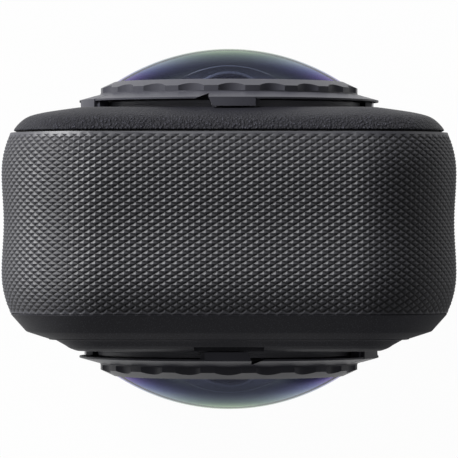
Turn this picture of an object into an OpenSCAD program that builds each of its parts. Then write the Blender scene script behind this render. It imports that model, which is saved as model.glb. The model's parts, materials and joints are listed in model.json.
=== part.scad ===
// A 360-degree action camera: a rounded block with a knurled grip band, one twist-off dome lens
// on each face, a screen under the rear lens, two side buttons, a latched battery door and
// fold-out mounting fingers. Millimetres, +Z up, lens axis along Y, front towards -Y.
// Pieces are drawn in a front view: x right, y up from the foot, z towards the front.

/* [Body] */
// Width of the body across its sides
body_w = 62; // [60:0.5:68]
// Height of the body from its foot to its top
body_h = 70; // [69:0.5:78]
// Radius of the body's corners, seen from the front
corner_r = 14; // [12.5:0.5:14.5]
// Distance from the lens mid-plane to the front seam of the grip band
band_front = 11.4; // [11:0.1:11.8]
// Distance from the lens mid-plane to the rear seam of the grip band
band_rear = 13.1; // [12.7:0.1:13.5]
// Thickness of the grip band
band_t = 2; // [1.8:0.1:2.3]
// Depth of the shallow waist round the middle of the grip band
band_waist = 0.28; // [0:0.02:0.4]
// Radius that rolls the grip band over at each seam
band_roll_r = 12.5; // [11:0.5:20]
// Wall of the inner frame
frame_t = 1.6; // [1.4:0.1:1.9]
// Distance from the lens mid-plane to each lens seat
face_z = 16.5; // [16.3:0.1:17.5]

/* [Lens] */
// Distance of the lens axis below the top
lens_drop = 27.5; // [26.5:0.5:28.5]
// Radius of the clear part of the dome
dome_r = 15.9; // [15.5:0.1:16]
// Rise of the dome above its rim
dome_sag = 4.75; // [4.3:0.05:5.2]
// Thickness of the dome glass
dome_t = 1.1; // [0.8:0.1:1.3]
// Radius of the scalloped grip of the lens ring
grip_r = 17.9; // [17.8:0.1:18.4]
// Radius of the lens ring's thin flange
flange_r = 20.8; // [20.4:0.1:21.2]
// Number of scallops round the lens ring
scallops = 20; // [12:1:24]
// Depth of each scallop
scallop_depth = 0.7; // [0.4:0.1:0.8]
// Angle that the lens ring turns to come free
twist = 45; // [44:1:48]
// Radius of the inner front lens element
inner_lens_r = 9.6; // [8.5:0.1:10]

/* [Screen] */
// Width of the screen glass
screen_w = 37; // [30:0.5:38]
// Gap between the screen glass and the lens ring
screen_gap = 1.7; // [1.5:0.1:4]
// Thickness of the screen glass
screen_t = 1; // [0.7:0.1:1.2]

/* [Buttons] */
// Radius of the shutter button
shutter_r = 5.5; // [4.5:0.1:6]
// Length of the mode button
mode_l = 11; // [9:0.5:12]
// Width of the mode button
mode_w = 5; // [4:0.2:5.6]
// Travel of both buttons
button_travel = 0.5; // [0.3:0.05:0.6]

/* [Battery door] */
// Grip band left between the door and each corner
door_margin = 1.5; // [1:0.1:2]
// Depth of the door opening
door_d = 18; // [17.5:0.1:18.4]
// Slide of the door latch
latch_travel = 2; // [1.6:0.1:2.2]

/* [Base] */
// Length of the base plate
base_w = 41; // [40.5:0.5:44]
// Depth of the base plate
base_d = 18; // [17.6:0.2:18.4]
// Thickness of each mounting finger
finger_t = 2.9; // [2.7:0.1:3.1]
// Gap between the two fingers when they are folded out
finger_gap = 3.3; // [3.1:0.1:3.6]
// Radius of each finger's round end
finger_r = 7.25; // [7:0.05:7.4]
// Radius of the hole through each finger
finger_hole_r = 2.55; // [2.5:0.05:2.8]
// Radius of the tripod socket's wall
tripod_r = 2.6; // [2.5:0.05:2.7]
// Depth of the tripod socket
tripod_depth = 6.5; // [5.5:0.5:7]

/* [Inside] */
// Room between the battery and the main board
battery_end = 8.3; // [6:0.1:12]
// Depth of the battery
battery_d = 13.8; // [11:0.2:13.8]

/* [Hidden] */
$fn = 64;

// Clearances and small gaps
slip = 0.1;
seam = 0.25;
hairline = 0.05;
touch = 0.02;

// Body planes
foot_rise = 0.3;
half_w = body_w / 2;
shell_h = body_h - foot_rise;
mid_y = foot_rise + shell_h / 2;
lens_y = body_h - lens_drop;
side_low = foot_rise + corner_r;
side_high = body_h - corner_r;
run_x = body_w - 2 * corner_r;
run_y = shell_h - 2 * corner_r;
frame_in = band_t + frame_t;
inner_x = half_w - frame_in;
inner_top = body_h - frame_in;
inner_bottom = foot_rise + frame_in;
frame_front = band_front - 0.3;
frame_rear = band_rear - 0.2;
crest_front = band_front - 5.4;
crest_rear = band_rear - 5.4;

// Cover planes, measured from the lens mid-plane
floor_z = face_z - 3.5;
plate_base = face_z - 2.1;
shell_z = face_z - 1.6;
cover_start = band_front + hairline;
rear_start = band_rear + seam;

// Front cover and plate: height of each edge, then its inset at the sides, top and bottom
plate_step = face_z - 1.5;
front_edges = [[cover_start, 1.25, 1.25, 1.25],
               [face_z - 2.55, 3.4, 3.3, 3.4],
               [face_z - 1.65, 6.4, 4.4, 6]];
plateau_edges = [[face_z - 1.8, 7.2, 4.8, 6.6],
                 [face_z - 0.75, 8.8, 5.6, 8.2],
                 [face_z - 0.35, 9.4, 6.1, 8.8],
                 [face_z, 10.4, 6.9, 9.8]];
rear_edges = [[rear_start, 1.65, 1.65, 1.65],
              [face_z - 2.25, 2.25, 2.25, 2.25],
              [face_z - 1.5, 3.1, 3.1, 3.1],
              [face_z - 1.05, 4, 4, 3.7],
              [face_z - 0.63, 5.9, 5.2, 4.3],
              [face_z - 0.3, 8.4, 6.3, 4.9],
              [face_z, 10.8, 7.6, 5.5]];

// Lens stack, heights above the lens seat
ledge_h = 0.45;
ledge_r = 18.5;
flange_low = 1.1;
flange_edge = 1.34;
grip_low = 2.15;
grip_top = 3;
ring_top = grip_top + 0.8;
collar_top = 1.75;
lug_h = 0.55;
lug_count = 4;
lug_angle = twist - 5;
collar_in = 15.2;
collar_out = 16.2;
bore_out = 17;
skirt_in = 13.9;
skirt_low = ledge_h + slip;
dome_ball_r = (dome_r * dome_r + dome_sag * dome_sag) / (2 * dome_sag);
dome_centre = ring_top + dome_sag - dome_ball_r;
dome_seat_r = dome_r + 0.25;
seal_r = 0.3;
tab_angles = [90, 18, 240];
tab_half = 8.7;
tab_in = ledge_r + 0.35;
barrel_r = 13.5;
barrel_neck_r = 9.4;
sensor_board_w = 19;
barrel_top = face_z + 2.7;
inner_apex = face_z + 6.25;
inner_ball_r = 13.5;
board_z = 1.2;
board_t = 1;

// Screw posts on the corner diagonals
post_x = half_w - 10.3;
post_low = 10.4;
post_high = body_h - 10.4;
web_gap = 0.3;

// Small details: sound slots, microphone and light low on the front, the same beside the screen
speaker_x = 11.5;
speaker_y = 13.2;
mic_x = -13.5;
light_x = -17;
detail_y = 13.2;
screen_low = foot_rise + 6.1;
screen_h = lens_y - flange_r - screen_gap - screen_low;
screen_y = screen_low + screen_h / 2;
screen_side = screen_w / 2 + 3;
screen_side_y = post_low + 6.8;

// Door on the left side
door_low = corner_r + door_margin;
door_top = body_h - corner_r - door_margin;
door_mid = -0.5;
door_front = door_mid + door_d / 2;
door_back = door_mid - door_d / 2;
door_gap = 0.2;
door_t = band_t - 0.3;
rim = 1.5;
hinge_x = half_w - 1.2;
hinge_y = door_low + rim;
knuckle_r = 1.1;
hinge_pin_r = 0.5;
latch_top = door_top - 2.7;
latch_h = 6.6;
latch_w = 7.4;
pocket_depth = 1.2;
tongue_low = latch_top - 5;
spring_h = 3.6;

// Base and fingers
recess_h = finger_t + 0.2;
finger_low = 0.1;
pivot_y = finger_low + finger_t / 2;
pivot_x = finger_gap / 2 + finger_t / 2;
base_wall = 1.3;
finger_end = 0.45;
finger_hole_x = base_w / 2 - base_wall - finger_end - finger_r;
insert_r = 3.6;
finger_notch_r = 4.9;
knuckle_z = 4.4;
knuckle_relief = 1.7;
finger_pin_r = 0.75;
base_roof = inner_bottom + 2.5;

// Buttons on the right side
shutter_y = side_low + 0.616 * run_y;
mode_y = side_low + 0.185 * run_y;
board_x = half_w - 10;
board_low = side_low + 0.7;
board_high = side_high - 1;
switch_h = 2.8;

// Inside, from the left wall to the right
battery_x = 1.1 - inner_x;
battery_y = door_low + 1.9;
tray_t = 0.8;
tray_gap = 0.2;
battery_l = board_x - battery_x - battery_end;
battery_h = lens_y - sensor_board_w / 2 - 0.6 - tray_t - tray_gap - battery_y;
contact_mid = battery_y + battery_h * 3 / 7;
contact_half = battery_h * 5 / 14;
tray_roof = battery_y + battery_h + tray_gap + tray_t;
card_slot_h = 2.4;
port_y = tray_roof + card_slot_h;

module front_view() {
    rotate([90, 0, 0]) children();
}

module rear_view() {
    front_view() rotate([0, 180, 0]) children();
}

module at_lens() {
    translate([0, lens_y, face_z]) children();
}

// Rounded outline of the body, moved in at the sides, top and bottom
module outline(side, top, bottom) {
    r = max(corner_r - side, 2.5);
    left = half_w - side - r;
    high = body_h - top - r;
    low = foot_rise + bottom + r;
    for (x = [-left, left]) {
        for (y = [low, high]) {
            translate([x, y]) circle(r);
        }
    }
    translate([-left - r, low]) square([2 * (left + r), high - low]);
    translate([-left, low - r]) square([2 * left, high - low + 2 * r]);
}

module slab(inset, z0, z1) {
    translate([0, 0, z0]) linear_extrude(z1 - z0) outline(inset, inset, inset);
}

// Solid drawn through a list of edges, each one a height and three insets
module lofted(edges) {
    hull() {
        for (e = edges) {
            translate([0, 0, e[0] - touch]) linear_extrude(touch) outline(e[1], e[2], e[3]);
        }
    }
}

// How far the grip band's face lies in from the body's widest line at a depth
function roll(d) = band_roll_r - sqrt(band_roll_r * band_roll_r - d * d);
function band_inset(z) =
    z > crest_front ? roll(z - crest_front) :
    z < -crest_rear ? roll(-crest_rear - z) :
    band_waist * (1 - cos(360 * (z + crest_rear) / (crest_front + crest_rear))) / 2;

// Points of the grip band's face between two depths
function band_face(z0, z1, steps) =
    [for (i = [0 : steps]) let (z = z0 + (z1 - z0) * i / steps) [band_inset(z), z]];

// Ring that follows the body's rounded outline with a given section of insets and depths
module rim_sweep(section) {
    for (q = [0 : 3]) {
        side = q == 0 || q == 3 ? 1 : -1;
        up = q < 2 ? 1 : -1;
        translate([side * run_x / 2, mid_y + up * run_y / 2, 0]) rotate(90 * q)
            rotate_extrude(angle = 90) polygon([for (p = section) [corner_r - p[0], p[1]]]);
        run = q % 2 == 0 ? run_y : run_x;
        reach = q % 2 == 0 ? half_w : shell_h / 2;
        translate([0, mid_y, 0]) rotate(90 * q) translate([0, run / 2, 0]) rotate([90, 0, 0])
            linear_extrude(run) polygon([for (p = section) [reach - p[0], p[1]]]);
    }
}

module box(x0, x1, y0, y1, z0, z1) {
    translate([x0, y0, z0]) cube([x1 - x0, y1 - y0, z1 - z0]);
}

// Cylinder that runs along x from x0 to x1
module rod_x(r, x0, x1, y, z) {
    translate([x0, y, z]) rotate([0, 90, 0]) cylinder(r = r, h = x1 - x0);
}

// Round-ended bar that runs along x, long in y
module pill_x(length, width, x0, x1, y) {
    end = (length - width) / 2;
    rod_x(width / 2, x0, x1, y - end, 0);
    rod_x(width / 2, x0, x1, y + end, 0);
    box(x0, x1, y - end, y + end, -width / 2, width / 2);
}

// Part of a ring between two angles, from a section of radii and heights
module ring_part(centre, span, section) {
    rotate(centre - span / 2) rotate_extrude(angle = span) polygon(section);
}

function rect_section(r0, r1, z0, z1) = [[r0, z0], [r1, z0], [r1, z1], [r0, z1]];

module base_opening(gap) {
    box(-base_w / 2 - gap, base_w / 2 + gap, -1, inner_bottom + 1,
        -base_d / 2 - gap, base_d / 2 + gap);
}

module grip_band() {
    section = concat(band_face(-band_rear, band_front, 18),
                     [[band_t, band_front], [band_t, -band_rear]]);
    color([0.22, 0.22, 0.24]) front_view() difference() {
        rim_sweep(section);
        box(-half_w - 1, -inner_x, door_low, door_top, door_back, door_front);
        rod_x(shutter_r + door_gap, inner_x, half_w + 1, shutter_y, 0);
        pill_x(mode_l + 2 * door_gap, mode_w + 2 * door_gap, inner_x, half_w + 1, mode_y);
        base_opening(slip);
    }
}

module screw_post(x, y) {
    turn = atan2(y - mid_y, x) > 0 ? 45 : -45;
    translate([x, y, -frame_rear]) cylinder(r = 2.2, h = frame_rear + frame_front);
    translate([x, y, web_gap - frame_rear]) rotate(x > 0 ? turn : 180 - turn) translate([0, -1, 0])
        cube([corner_r - frame_in - 4.4, 2, frame_rear + frame_front - 2 * web_gap]);
}

module mid_frame() {
    color([0.3, 0.3, 0.32]) front_view() difference() {
        union() {
            difference() {
                slab(band_t, -frame_rear, frame_front);
                slab(frame_in, -frame_rear - 1, frame_front + 1);
            }
            for (x = [-post_x, post_x]) {
                for (y = [post_low, post_high]) {
                    screw_post(x, y);
                }
            }
            for (z = [door_back, door_front - rim]) {
                box(-half_w + 0.4, -inner_x - 0.2, door_low, hinge_y + 1.3, z, z + rim);
            }
            for (y = [board_low, board_high - 2]) {
                box(board_x + board_t, inner_x + 0.2, y, y + 2, -9, -5);
            }
        }
        box(-half_w, -inner_x + 1, door_low + rim, door_top - rim, door_back + rim, door_front - rim);
        box(-inner_x - 1.3, -inner_x - 0.3, door_top - rim - 0.1, door_top + 0.2, -2.8, 1.8);
        translate([-hinge_x, hinge_y, door_back - 1]) cylinder(r = hinge_pin_r + touch, h = door_d + 2);
        translate([-hinge_x, hinge_y, door_back + rim])
            cylinder(r = knuckle_r + 0.15, h = door_d - 2 * rim);
        for (x = [-post_x, post_x]) {
            for (y = [post_low, post_high]) {
                translate([x, y, -frame_rear - 1]) cylinder(r = 0.95, h = frame_rear + frame_front + 2);
            }
        }
        rod_x(shutter_r + slip, inner_x - 1, half_w, shutter_y, 0);
        pill_x(mode_l + 2 * slip, mode_w + 2 * slip, inner_x - 1, half_w, mode_y);
        base_opening(slip);
    }
}

module gasket_ring(z0, z1) {
    difference() {
        slab(band_t + slip, z0, z1);
        slab(frame_in - slip, z0 - 1, z1 + 1);
    }
}

module front_gasket() {
    color([0.1, 0.1, 0.1]) front_view() gasket_ring(frame_front, cover_start - touch);
}

module rear_gasket() {
    color([0.1, 0.1, 0.1]) rear_view() gasket_ring(frame_rear, rear_start - touch);
}

module lens_hole(r) {
    translate([0, lens_y, floor_z - 1]) cylinder(r = r, h = face_z - floor_z + 2);
}

// Sound slots low on the front
module speaker_slots(z0, z1) {
    for (i = [-2 : 2]) {
        box(speaker_x + 2 * i - 0.5, speaker_x + 2 * i + 0.5, speaker_y - 2.6, speaker_y + 2.6, z0, z1);
    }
}

// Holes for the front microphone and status light
module small_holes(z0, z1) {
    translate([mic_x, detail_y, z0]) cylinder(r = 0.5, h = z1 - z0);
    translate([light_x, detail_y, z0]) cylinder(r = 0.95, h = z1 - z0);
}

module front_cover() {
    color([0.16, 0.16, 0.17]) front_view() difference() {
        lofted(front_edges);
        slab(frame_in, band_front - 1, floor_z);
        translate([0, 0, plate_base]) linear_extrude(5) outline(6.4, 4.4, 6);
        lens_hole(collar_out + slip);
        for (x = [-post_x, post_x]) {
            for (y = [post_low, post_high]) {
                translate([x, y, floor_z - 1]) cylinder(r = 0.95, h = 4);
                translate([x, y, plate_base - 0.9]) cylinder(r = 1.7, h = 2);
            }
        }
        speaker_slots(floor_z - 1, face_z);
        small_holes(floor_z - 1, face_z);
    }
}

// Stop that stands on each lens seat, under the flange of the lens ring
module lens_stop() {
    at_lens() ring_part(180, 20, rect_section(tab_in + 0.15, flange_r - 0.7, -0.3, flange_low - slip));
}

module front_plate() {
    color([0.16, 0.16, 0.17]) front_view() difference() {
        union() {
            translate([0, 0, plate_base]) linear_extrude(plate_step - plate_base) outline(6.5, 4.5, 6.1);
            lofted(plateau_edges);
            lens_stop();
        }
        lens_hole(collar_out + slip);
        box(-4.7, 4.7, lens_y + flange_r - 0.3, body_h, face_z - 1.55, face_z + 1);
        speaker_slots(plate_base - 1, face_z + 1);
        small_holes(plate_base - 1, face_z + 1);
    }
}

module rear_cover() {
    color([0.16, 0.16, 0.17]) rear_view() difference() {
        union() {
            lofted(rear_edges);
            lens_stop();
        }
        difference() {
            slab(frame_in, rear_start - 1, shell_z);
            translate([0, lens_y, floor_z]) cylinder(r = 19.6, h = 4);
            for (x = [-post_x, post_x]) {
                for (y = [post_low, post_high]) {
                    translate([x, y, frame_rear]) cylinder(r = 2.2, h = 4);
                }
            }
        }
        lens_hole(collar_out + slip);
        for (x = [-post_x, post_x]) {
            for (y = [post_low, post_high]) {
                translate([x, y, frame_rear - 1]) cylinder(r = 0.85, h = 3.2);
            }
        }
        screen_block(screen_w + 2 * slip, screen_h + 2 * slip, face_z - screen_t, face_z + 1);
        screen_block(screen_w - 2.4, screen_h - 1.8, floor_z - 1, face_z);
        translate([screen_side, screen_side_y, floor_z - 1]) cylinder(r = 0.95, h = 6);
        translate([-screen_side, screen_side_y, floor_z - 1]) cylinder(r = 0.5, h = 6);
    }
}

module screen_block(width, height, z0, z1) {
    box(-width / 2, width / 2, screen_y - height / 2, screen_y + height / 2, z0, z1);
}

module screen_glass() {
    color([0.03, 0.03, 0.04]) rear_view()
        screen_block(screen_w, screen_h, face_z - screen_t, face_z);
}

module display_panel() {
    color([0.1, 0.1, 0.14]) rear_view()
        screen_block(screen_w - 2.8, screen_h - 2.2, face_z - screen_t - 1.9, face_z - screen_t);
}

module cover_screws() {
    color([0.6, 0.6, 0.62]) front_view() for (x = [-post_x, post_x]) {
        for (y = [post_low, post_high]) {
            translate([x, y, -frame_rear - 2]) cylinder(r = 0.8, h = frame_rear + 2 + plate_base - 0.9);
            translate([x, y, plate_base - 0.9]) cylinder(r = 1.6, h = 0.8);
        }
    }
}

// Lens pieces, drawn from the lens seat outwards
module dome() {
    color([0.35, 0.45, 0.5, 0.6]) at_lens() intersection() {
        difference() {
            translate([0, 0, dome_centre]) sphere(dome_ball_r);
            translate([0, 0, dome_centre]) sphere(dome_ball_r - dome_t);
        }
        cylinder(r = dome_seat_r, h = 20);
    }
}

// Height of the dome's outer and inner face at a radius
function dome_face(r, ball) = dome_centre + sqrt(ball * ball - r * r);

module lens_ring(turn) {
    shelf = dome_face(dome_seat_r, dome_ball_r - dome_t) - touch;
    seat = dome_seat_r + 0.05;
    rise = dome_face(seat, dome_ball_r) + touch;
    section = [[bore_out, skirt_low], [17.6, skirt_low], [17.6, flange_low],
               [flange_r, flange_low], [flange_r, flange_edge], [grip_r, grip_low],
               [grip_r, grip_top], [dome_r + 0.05, ring_top + 0.1],
               [dome_r + 0.05, ring_top + touch], [seat, rise],
               [seat, shelf], [skirt_in, shelf], [skirt_in, skirt_low],
               [collar_in - 0.2, skirt_low], [collar_in - 0.2, collar_top + slip],
               [bore_out, collar_top + slip]];
    cut_r = 3;
    color([0.2, 0.2, 0.22]) at_lens() rotate(turn) difference() {
        union() {
            rotate_extrude() polygon(section);
            for (i = [0 : lug_count - 1]) {
                ring_part(i * 360 / lug_count + 45, lug_angle,
                          rect_section(collar_out + slip, bore_out + 0.2, skirt_low, skirt_low + lug_h));
            }
            for (a = tab_angles) {
                ring_part(a, 2 * tab_half, rect_section(tab_in, flange_r + 0.1, slip, 1.9));
                ring_part(a + tab_half + 0.8, 2.2,
                          rect_section(tab_in + 0.3, flange_r - 0.4, 2 * slip, flange_edge));
            }
        }
        for (i = [0 : scallops - 1]) {
            rotate(90 + i * 360 / scallops)
                translate([grip_r + cut_r - scallop_depth, 0, grip_low + 0.15]) cylinder(r = cut_r, h = 3);
        }
        for (a = tab_angles) {
            rotate(a - tab_half - 0.8) translate([17.7, 0, flange_low + 0.75]) rotate([25, 0, 0])
                translate([0, -6, -2]) cube([4, 6, 2]);
        }
        translate([0, 0, 1.2]) rotate_extrude()
            translate([collar_in - 2 * seal_r - 2 * touch, -seal_r - touch])
                square([1, 2 * seal_r + 2 * touch]);
    }
}

module lens_seal() {
    color([0.5, 0.2, 0.12]) at_lens() translate([0, 0, 1.2]) rotate_extrude()
        translate([collar_in - seal_r - touch, 0]) circle(seal_r);
}

module socket() {
    color([0.12, 0.12, 0.13]) at_lens() {
        difference() {
            union() {
                cylinder(r = ledge_r, h = ledge_h);
                rotate_extrude() translate([17.9, 0.2]) square([ledge_r - 18, flange_low - 0.35]);
                translate([0, 0, floor_z - face_z - 1.3])
                    cylinder(r = collar_out, h = collar_top + 1.3 - floor_z + face_z);
            }
            translate([0, 0, -10]) cylinder(r = collar_in, h = 20);
        }
        for (i = [0 : lug_count - 1]) {
            ring_part(i * 360 / lug_count + 45, lug_angle,
                      rect_section(collar_out - 0.3, bore_out - slip, collar_top - lug_h, collar_top));
        }
    }
}

module socket_nut() {
    color([0.5, 0.5, 0.52]) translate([0, lens_y, floor_z - 1.2]) difference() {
        cylinder(r = 18.6, h = 1.2);
        translate([0, 0, -1]) cylinder(r = collar_out + hairline, h = 4);
        for (a = [0 : 90 : 270]) {
            rotate(a) translate([17.6, -1, -1]) cube([3, 2, 4]);
        }
    }
}

module barrel() {
    section = [[7.6, board_z + board_t], [barrel_neck_r, board_z + board_t], [barrel_neck_r, 11.2],
               [barrel_r, 12.4], [barrel_r, barrel_top], [12.4, barrel_top], [12.4, barrel_top - 0.5],
               [11.3, barrel_top - 0.5], [11.3, barrel_top - 1], [inner_lens_r + touch, barrel_top - 1],
               [inner_lens_r + touch, barrel_top - 2.4], [5 + touch, barrel_top - 5.4],
               [5 + touch, 4.4], [7.6, 4.4]];
    color([0.08, 0.08, 0.09]) translate([0, lens_y, 0]) rotate_extrude() polygon(section);
}

module inner_lens() {
    low = barrel_top - 2.4;
    color([0.3, 0.4, 0.55, 0.6]) translate([0, lens_y, 0]) intersection() {
        translate([0, 0, inner_apex - inner_ball_r]) sphere(inner_ball_r);
        translate([0, 0, low]) cylinder(r = inner_lens_r, h = 20);
    }
}

module relay_lens() {
    color([0.3, 0.4, 0.55, 0.6]) translate([0, lens_y, 7.6]) cylinder(r = 5, h = 3.6);
}

module sensor() {
    color([0.2, 0.25, 0.3]) box(-5, 5, lens_y - 4, lens_y + 4, board_z + board_t, board_z + board_t + 1.4);
}

module sensor_board() {
    color([0.05, 0.25, 0.15]) box(-sensor_board_w / 2, sensor_board_w / 2, lens_y - 9.5, lens_y + 9.5,
        board_z, board_z + board_t);
}

module flex(end) {
    color([0.7, 0.45, 0.1])
        box(sensor_board_w / 2, end, lens_y + 6, lens_y + 9, board_z + 0.3, board_z + 0.6);
}

module front_dome() { front_view() dome(); }
module front_lens_ring() { front_view() lens_ring(0.4); }
module front_lens_seal() { front_view() lens_seal(); }
module front_socket() { front_view() socket(); }
module front_socket_nut() { front_view() socket_nut(); }
module front_barrel() { front_view() barrel(); }
module front_inner_lens() { front_view() inner_lens(); }
module front_relay_lens() { front_view() relay_lens(); }
module front_sensor() { front_view() sensor(); }
module front_sensor_board() { front_view() sensor_board(); }
module front_flex() { front_view() flex(board_x); }
module rear_dome() { rear_view() dome(); }
module rear_lens_ring() { rear_view() lens_ring(1.2); }
module rear_lens_seal() { rear_view() lens_seal(); }
module rear_socket() { rear_view() socket(); }
module rear_socket_nut() { rear_view() socket_nut(); }
module rear_barrel() { rear_view() barrel(); }
module rear_inner_lens() { rear_view() inner_lens(); }
module rear_relay_lens() { rear_view() relay_lens(); }
module rear_sensor() { rear_view() sensor(); }
module rear_sensor_board() { rear_view() sensor_board(); }
module rear_flex() { front_view() mirror([0, 0, 1]) flex(board_x); }

// Buttons: a cap through the wall, a flange behind it and a stem towards the switch
module shutter_button() {
    color([0.25, 0.25, 0.27]) front_view() {
        rod_x(shutter_r, inner_x - 0.3, half_w - 0.2, shutter_y, 0);
        rod_x(shutter_r + 0.9, inner_x - 0.9, inner_x - 0.2, shutter_y, 0);
        rod_x(1.5, board_x + board_t + switch_h + button_travel + slip, inner_x - 0.5, shutter_y, 0);
    }
}

module mode_button() {
    color([0.25, 0.25, 0.27]) front_view() {
        pill_x(mode_l, mode_w, inner_x - 0.3, half_w - 0.2, mode_y);
        pill_x(mode_l + 1.8, mode_w + 1.8, inner_x - 0.9, inner_x - 0.2, mode_y);
        rod_x(1.5, board_x + board_t + switch_h + button_travel + slip, inner_x - 0.5, mode_y, 0);
    }
}

module tact_switch(y) {
    top = board_x + board_t + switch_h;
    box(board_x + board_t, top - 0.6, y - 3, y + 3, -3, 3);
    rod_x(1.2, top - 1, top, y, 0);
}

module shutter_switch() {
    color([0.7, 0.7, 0.72]) front_view() tact_switch(shutter_y);
}

module mode_switch() {
    color([0.7, 0.7, 0.72]) front_view() tact_switch(mode_y);
}

// Door panel: the grip band's own section, cut to the opening
module door_panel() {
    z0 = door_back + door_gap;
    z1 = door_front - door_gap;
    section = concat(band_face(z0, z1, 12), [[door_t, z1], [door_t, z0]]);
    translate([0, hinge_y, 0]) rotate([-90, 0, 0]) linear_extrude(door_top - door_gap - hinge_y)
        polygon([for (p = section) [p[0] - half_w, -p[1]]]);
}

module battery_door() {
    plug = rim + slip;
    wall = 1.2;
    color([0.22, 0.22, 0.24]) front_view() difference() {
        union() {
            door_panel();
            translate([-hinge_x, hinge_y, door_back + rim + slip])
                cylinder(r = knuckle_r, h = door_d - 2 * rim - 2 * slip);
            box(-half_w + door_t - 0.2, -inner_x - 0.2, tongue_low - spring_h - 0.8,
                tongue_low - spring_h, -2, 1);
            difference() {
                box(-half_w + door_t - 0.2, -inner_x, hinge_y + 1.6, door_top - plug,
                    door_back + plug, door_front - plug);
                box(-half_w + door_t, -inner_x + 1, hinge_y + 1.6 + wall, door_top - plug - wall,
                    door_back + plug + wall, door_front - plug - wall);
            }
        }
        for (z = [door_back, door_front - rim - slip]) {
            box(-half_w - 1, -inner_x, door_low - 1, hinge_y + 1.5, z - slip, z + rim + slip);
        }
        translate([-hinge_x, hinge_y, door_back - 1]) cylinder(r = hinge_pin_r + hairline, h = door_d + 2);
        box(-half_w - 1, -half_w + pocket_depth, latch_top - latch_h - latch_travel - 0.4, latch_top + 0.2,
            -latch_w / 2 - 0.7, latch_w / 2 - 0.3);
        box(-half_w - 1, -inner_x - 1, tongue_low - latch_travel - slip, latch_top - 0.8,
            -2.1, 1.1);
        box(-inner_x - 1.2, -inner_x - 0.2, latch_top - 6, door_top, -2.7, 1.7);
    }
}

// Seal round the plug on the door's inner face
module door_gasket() {
    plug = rim + slip;
    x0 = -half_w + door_t;
    color([0.12, 0.12, 0.12]) front_view() difference() {
        box(x0, x0 + 0.25, hinge_y + 2.6, door_top - 0.6, door_back + 0.6, door_front - 0.6);
        box(x0 - 1, x0 + 2, hinge_y + 1.6, door_top - plug, door_back + plug, door_front - plug);
    }
}

module door_hinge_pin() {
    color([0.65, 0.65, 0.67]) front_view() translate([-hinge_x, hinge_y, door_back + 0.1])
        cylinder(r = hinge_pin_r, h = door_d - 0.2);
}

module door_latch() {
    z0 = -latch_w / 2 - 0.5;
    color([0.5, 0.5, 0.52]) front_view() difference() {
        union() {
            box(-half_w + 0.25, -half_w + pocket_depth - slip, latch_top - latch_h, latch_top,
                z0, z0 + latch_w);
            box(-half_w + pocket_depth - 0.3, -inner_x - 0.6, tongue_low, latch_top - 1, -2, 1);
            box(-inner_x - 1.1, -inner_x - 0.4, tongue_low, door_top - rim + 1, -2.5, 1.5);
        }
        for (i = [0 : 2]) {
            box(-half_w - 1, -half_w + 0.55, latch_top - 2.2 - 1.4 * i, latch_top - 1.6 - 1.4 * i,
                z0 + 1, z0 + latch_w - 1);
        }
    }
}

// Folded leaf spring under the latch tongue
module latch_spring() {
    folds = 4;
    pitch = spring_h / folds;
    leaf = 0.2;
    half = 0.25;
    x = -inner_x - 0.75;
    left = [for (i = [0 : folds]) [x - half + (i % 2) * 2 * half, tongue_low - i * pitch]];
    right = [for (i = [folds : -1 : 0]) left[i] + [leaf, 0]];
    color([0.7, 0.7, 0.72]) front_view() translate([0, 0, -1.5]) linear_extrude(2)
        polygon(concat(left, right));
}

module battery() {
    color([0.15, 0.15, 0.2]) front_view() box(battery_x, battery_x + battery_l, battery_y,
        battery_y + battery_h, door_mid - battery_d / 2, door_mid + battery_d / 2);
}

module battery_tray() {
    gap = tray_gap;
    end = battery_x + battery_l + gap;
    color([0.25, 0.25, 0.25]) front_view() difference() {
        box(-inner_x, end + tray_t, battery_y - gap - tray_t, tray_roof,
            door_mid - battery_d / 2 - gap - tray_t, door_mid + battery_d / 2 + gap + tray_t);
        box(-inner_x - 1, end, battery_y - gap, battery_y + battery_h + gap,
            door_mid - battery_d / 2 - gap, door_mid + battery_d / 2 + gap);
        for (z = [-4, 0, 4]) {
            box(end - 1, end + 2, contact_mid - 3, contact_mid + 3, door_mid + z - 0.8, door_mid + z + 0.8);
        }
    }
}

module battery_contacts() {
    end = battery_x + battery_l + tray_gap;
    color([0.8, 0.65, 0.3]) front_view() {
        box(end + tray_t, end + tray_t + 1.5, contact_mid - contact_half, contact_mid + contact_half,
            door_mid - 6, door_mid + 6);
        for (z = [-4, 0, 4]) {
            box(end - 0.15, end + tray_t + 0.2, contact_mid - 2.5, contact_mid + 2.5,
                door_mid + z - 0.6, door_mid + z + 0.6);
        }
    }
}

module card_socket() {
    color([0.75, 0.75, 0.77]) front_view() difference() {
        box(-inner_x + 0.4, -inner_x + 17.4, tray_roof, port_y, -6.6, 6.4);
        box(-inner_x - 1, -inner_x + 16.6, tray_roof + 0.6, tray_roof + 1.8, -5.8, 5.6);
    }
}

module memory_card() {
    color([0.08, 0.08, 0.08]) front_view()
        box(-inner_x + 0.6, -inner_x + 15.6, tray_roof + 0.7, tray_roof + 1.7, -5.6, 5.4);
}

module port_board() {
    color([0.05, 0.25, 0.15]) front_view() box(-inner_x + 0.8, -inner_x + 13, port_y, port_y + 0.8, -8, 7);
}

module usb_port() {
    color([0.75, 0.75, 0.77]) front_view() difference() {
        box(-inner_x + 0.6, -inner_x + 8.2, port_y + 0.8, port_y + 4, -4.5, 4.5);
        box(-inner_x - 1, -inner_x + 7.4, port_y + 1.1, port_y + 3.7, -4.2, 4.2);
    }
}

module main_board() {
    color([0.05, 0.25, 0.15]) front_view() box(board_x, board_x + board_t, board_low, board_high, -10, 9);
}

module processor() {
    color([0.1, 0.1, 0.12]) front_view() box(board_x - 1.4, board_x, lens_y - 6.5, lens_y + 4.5, -6, 6);
}

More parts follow.
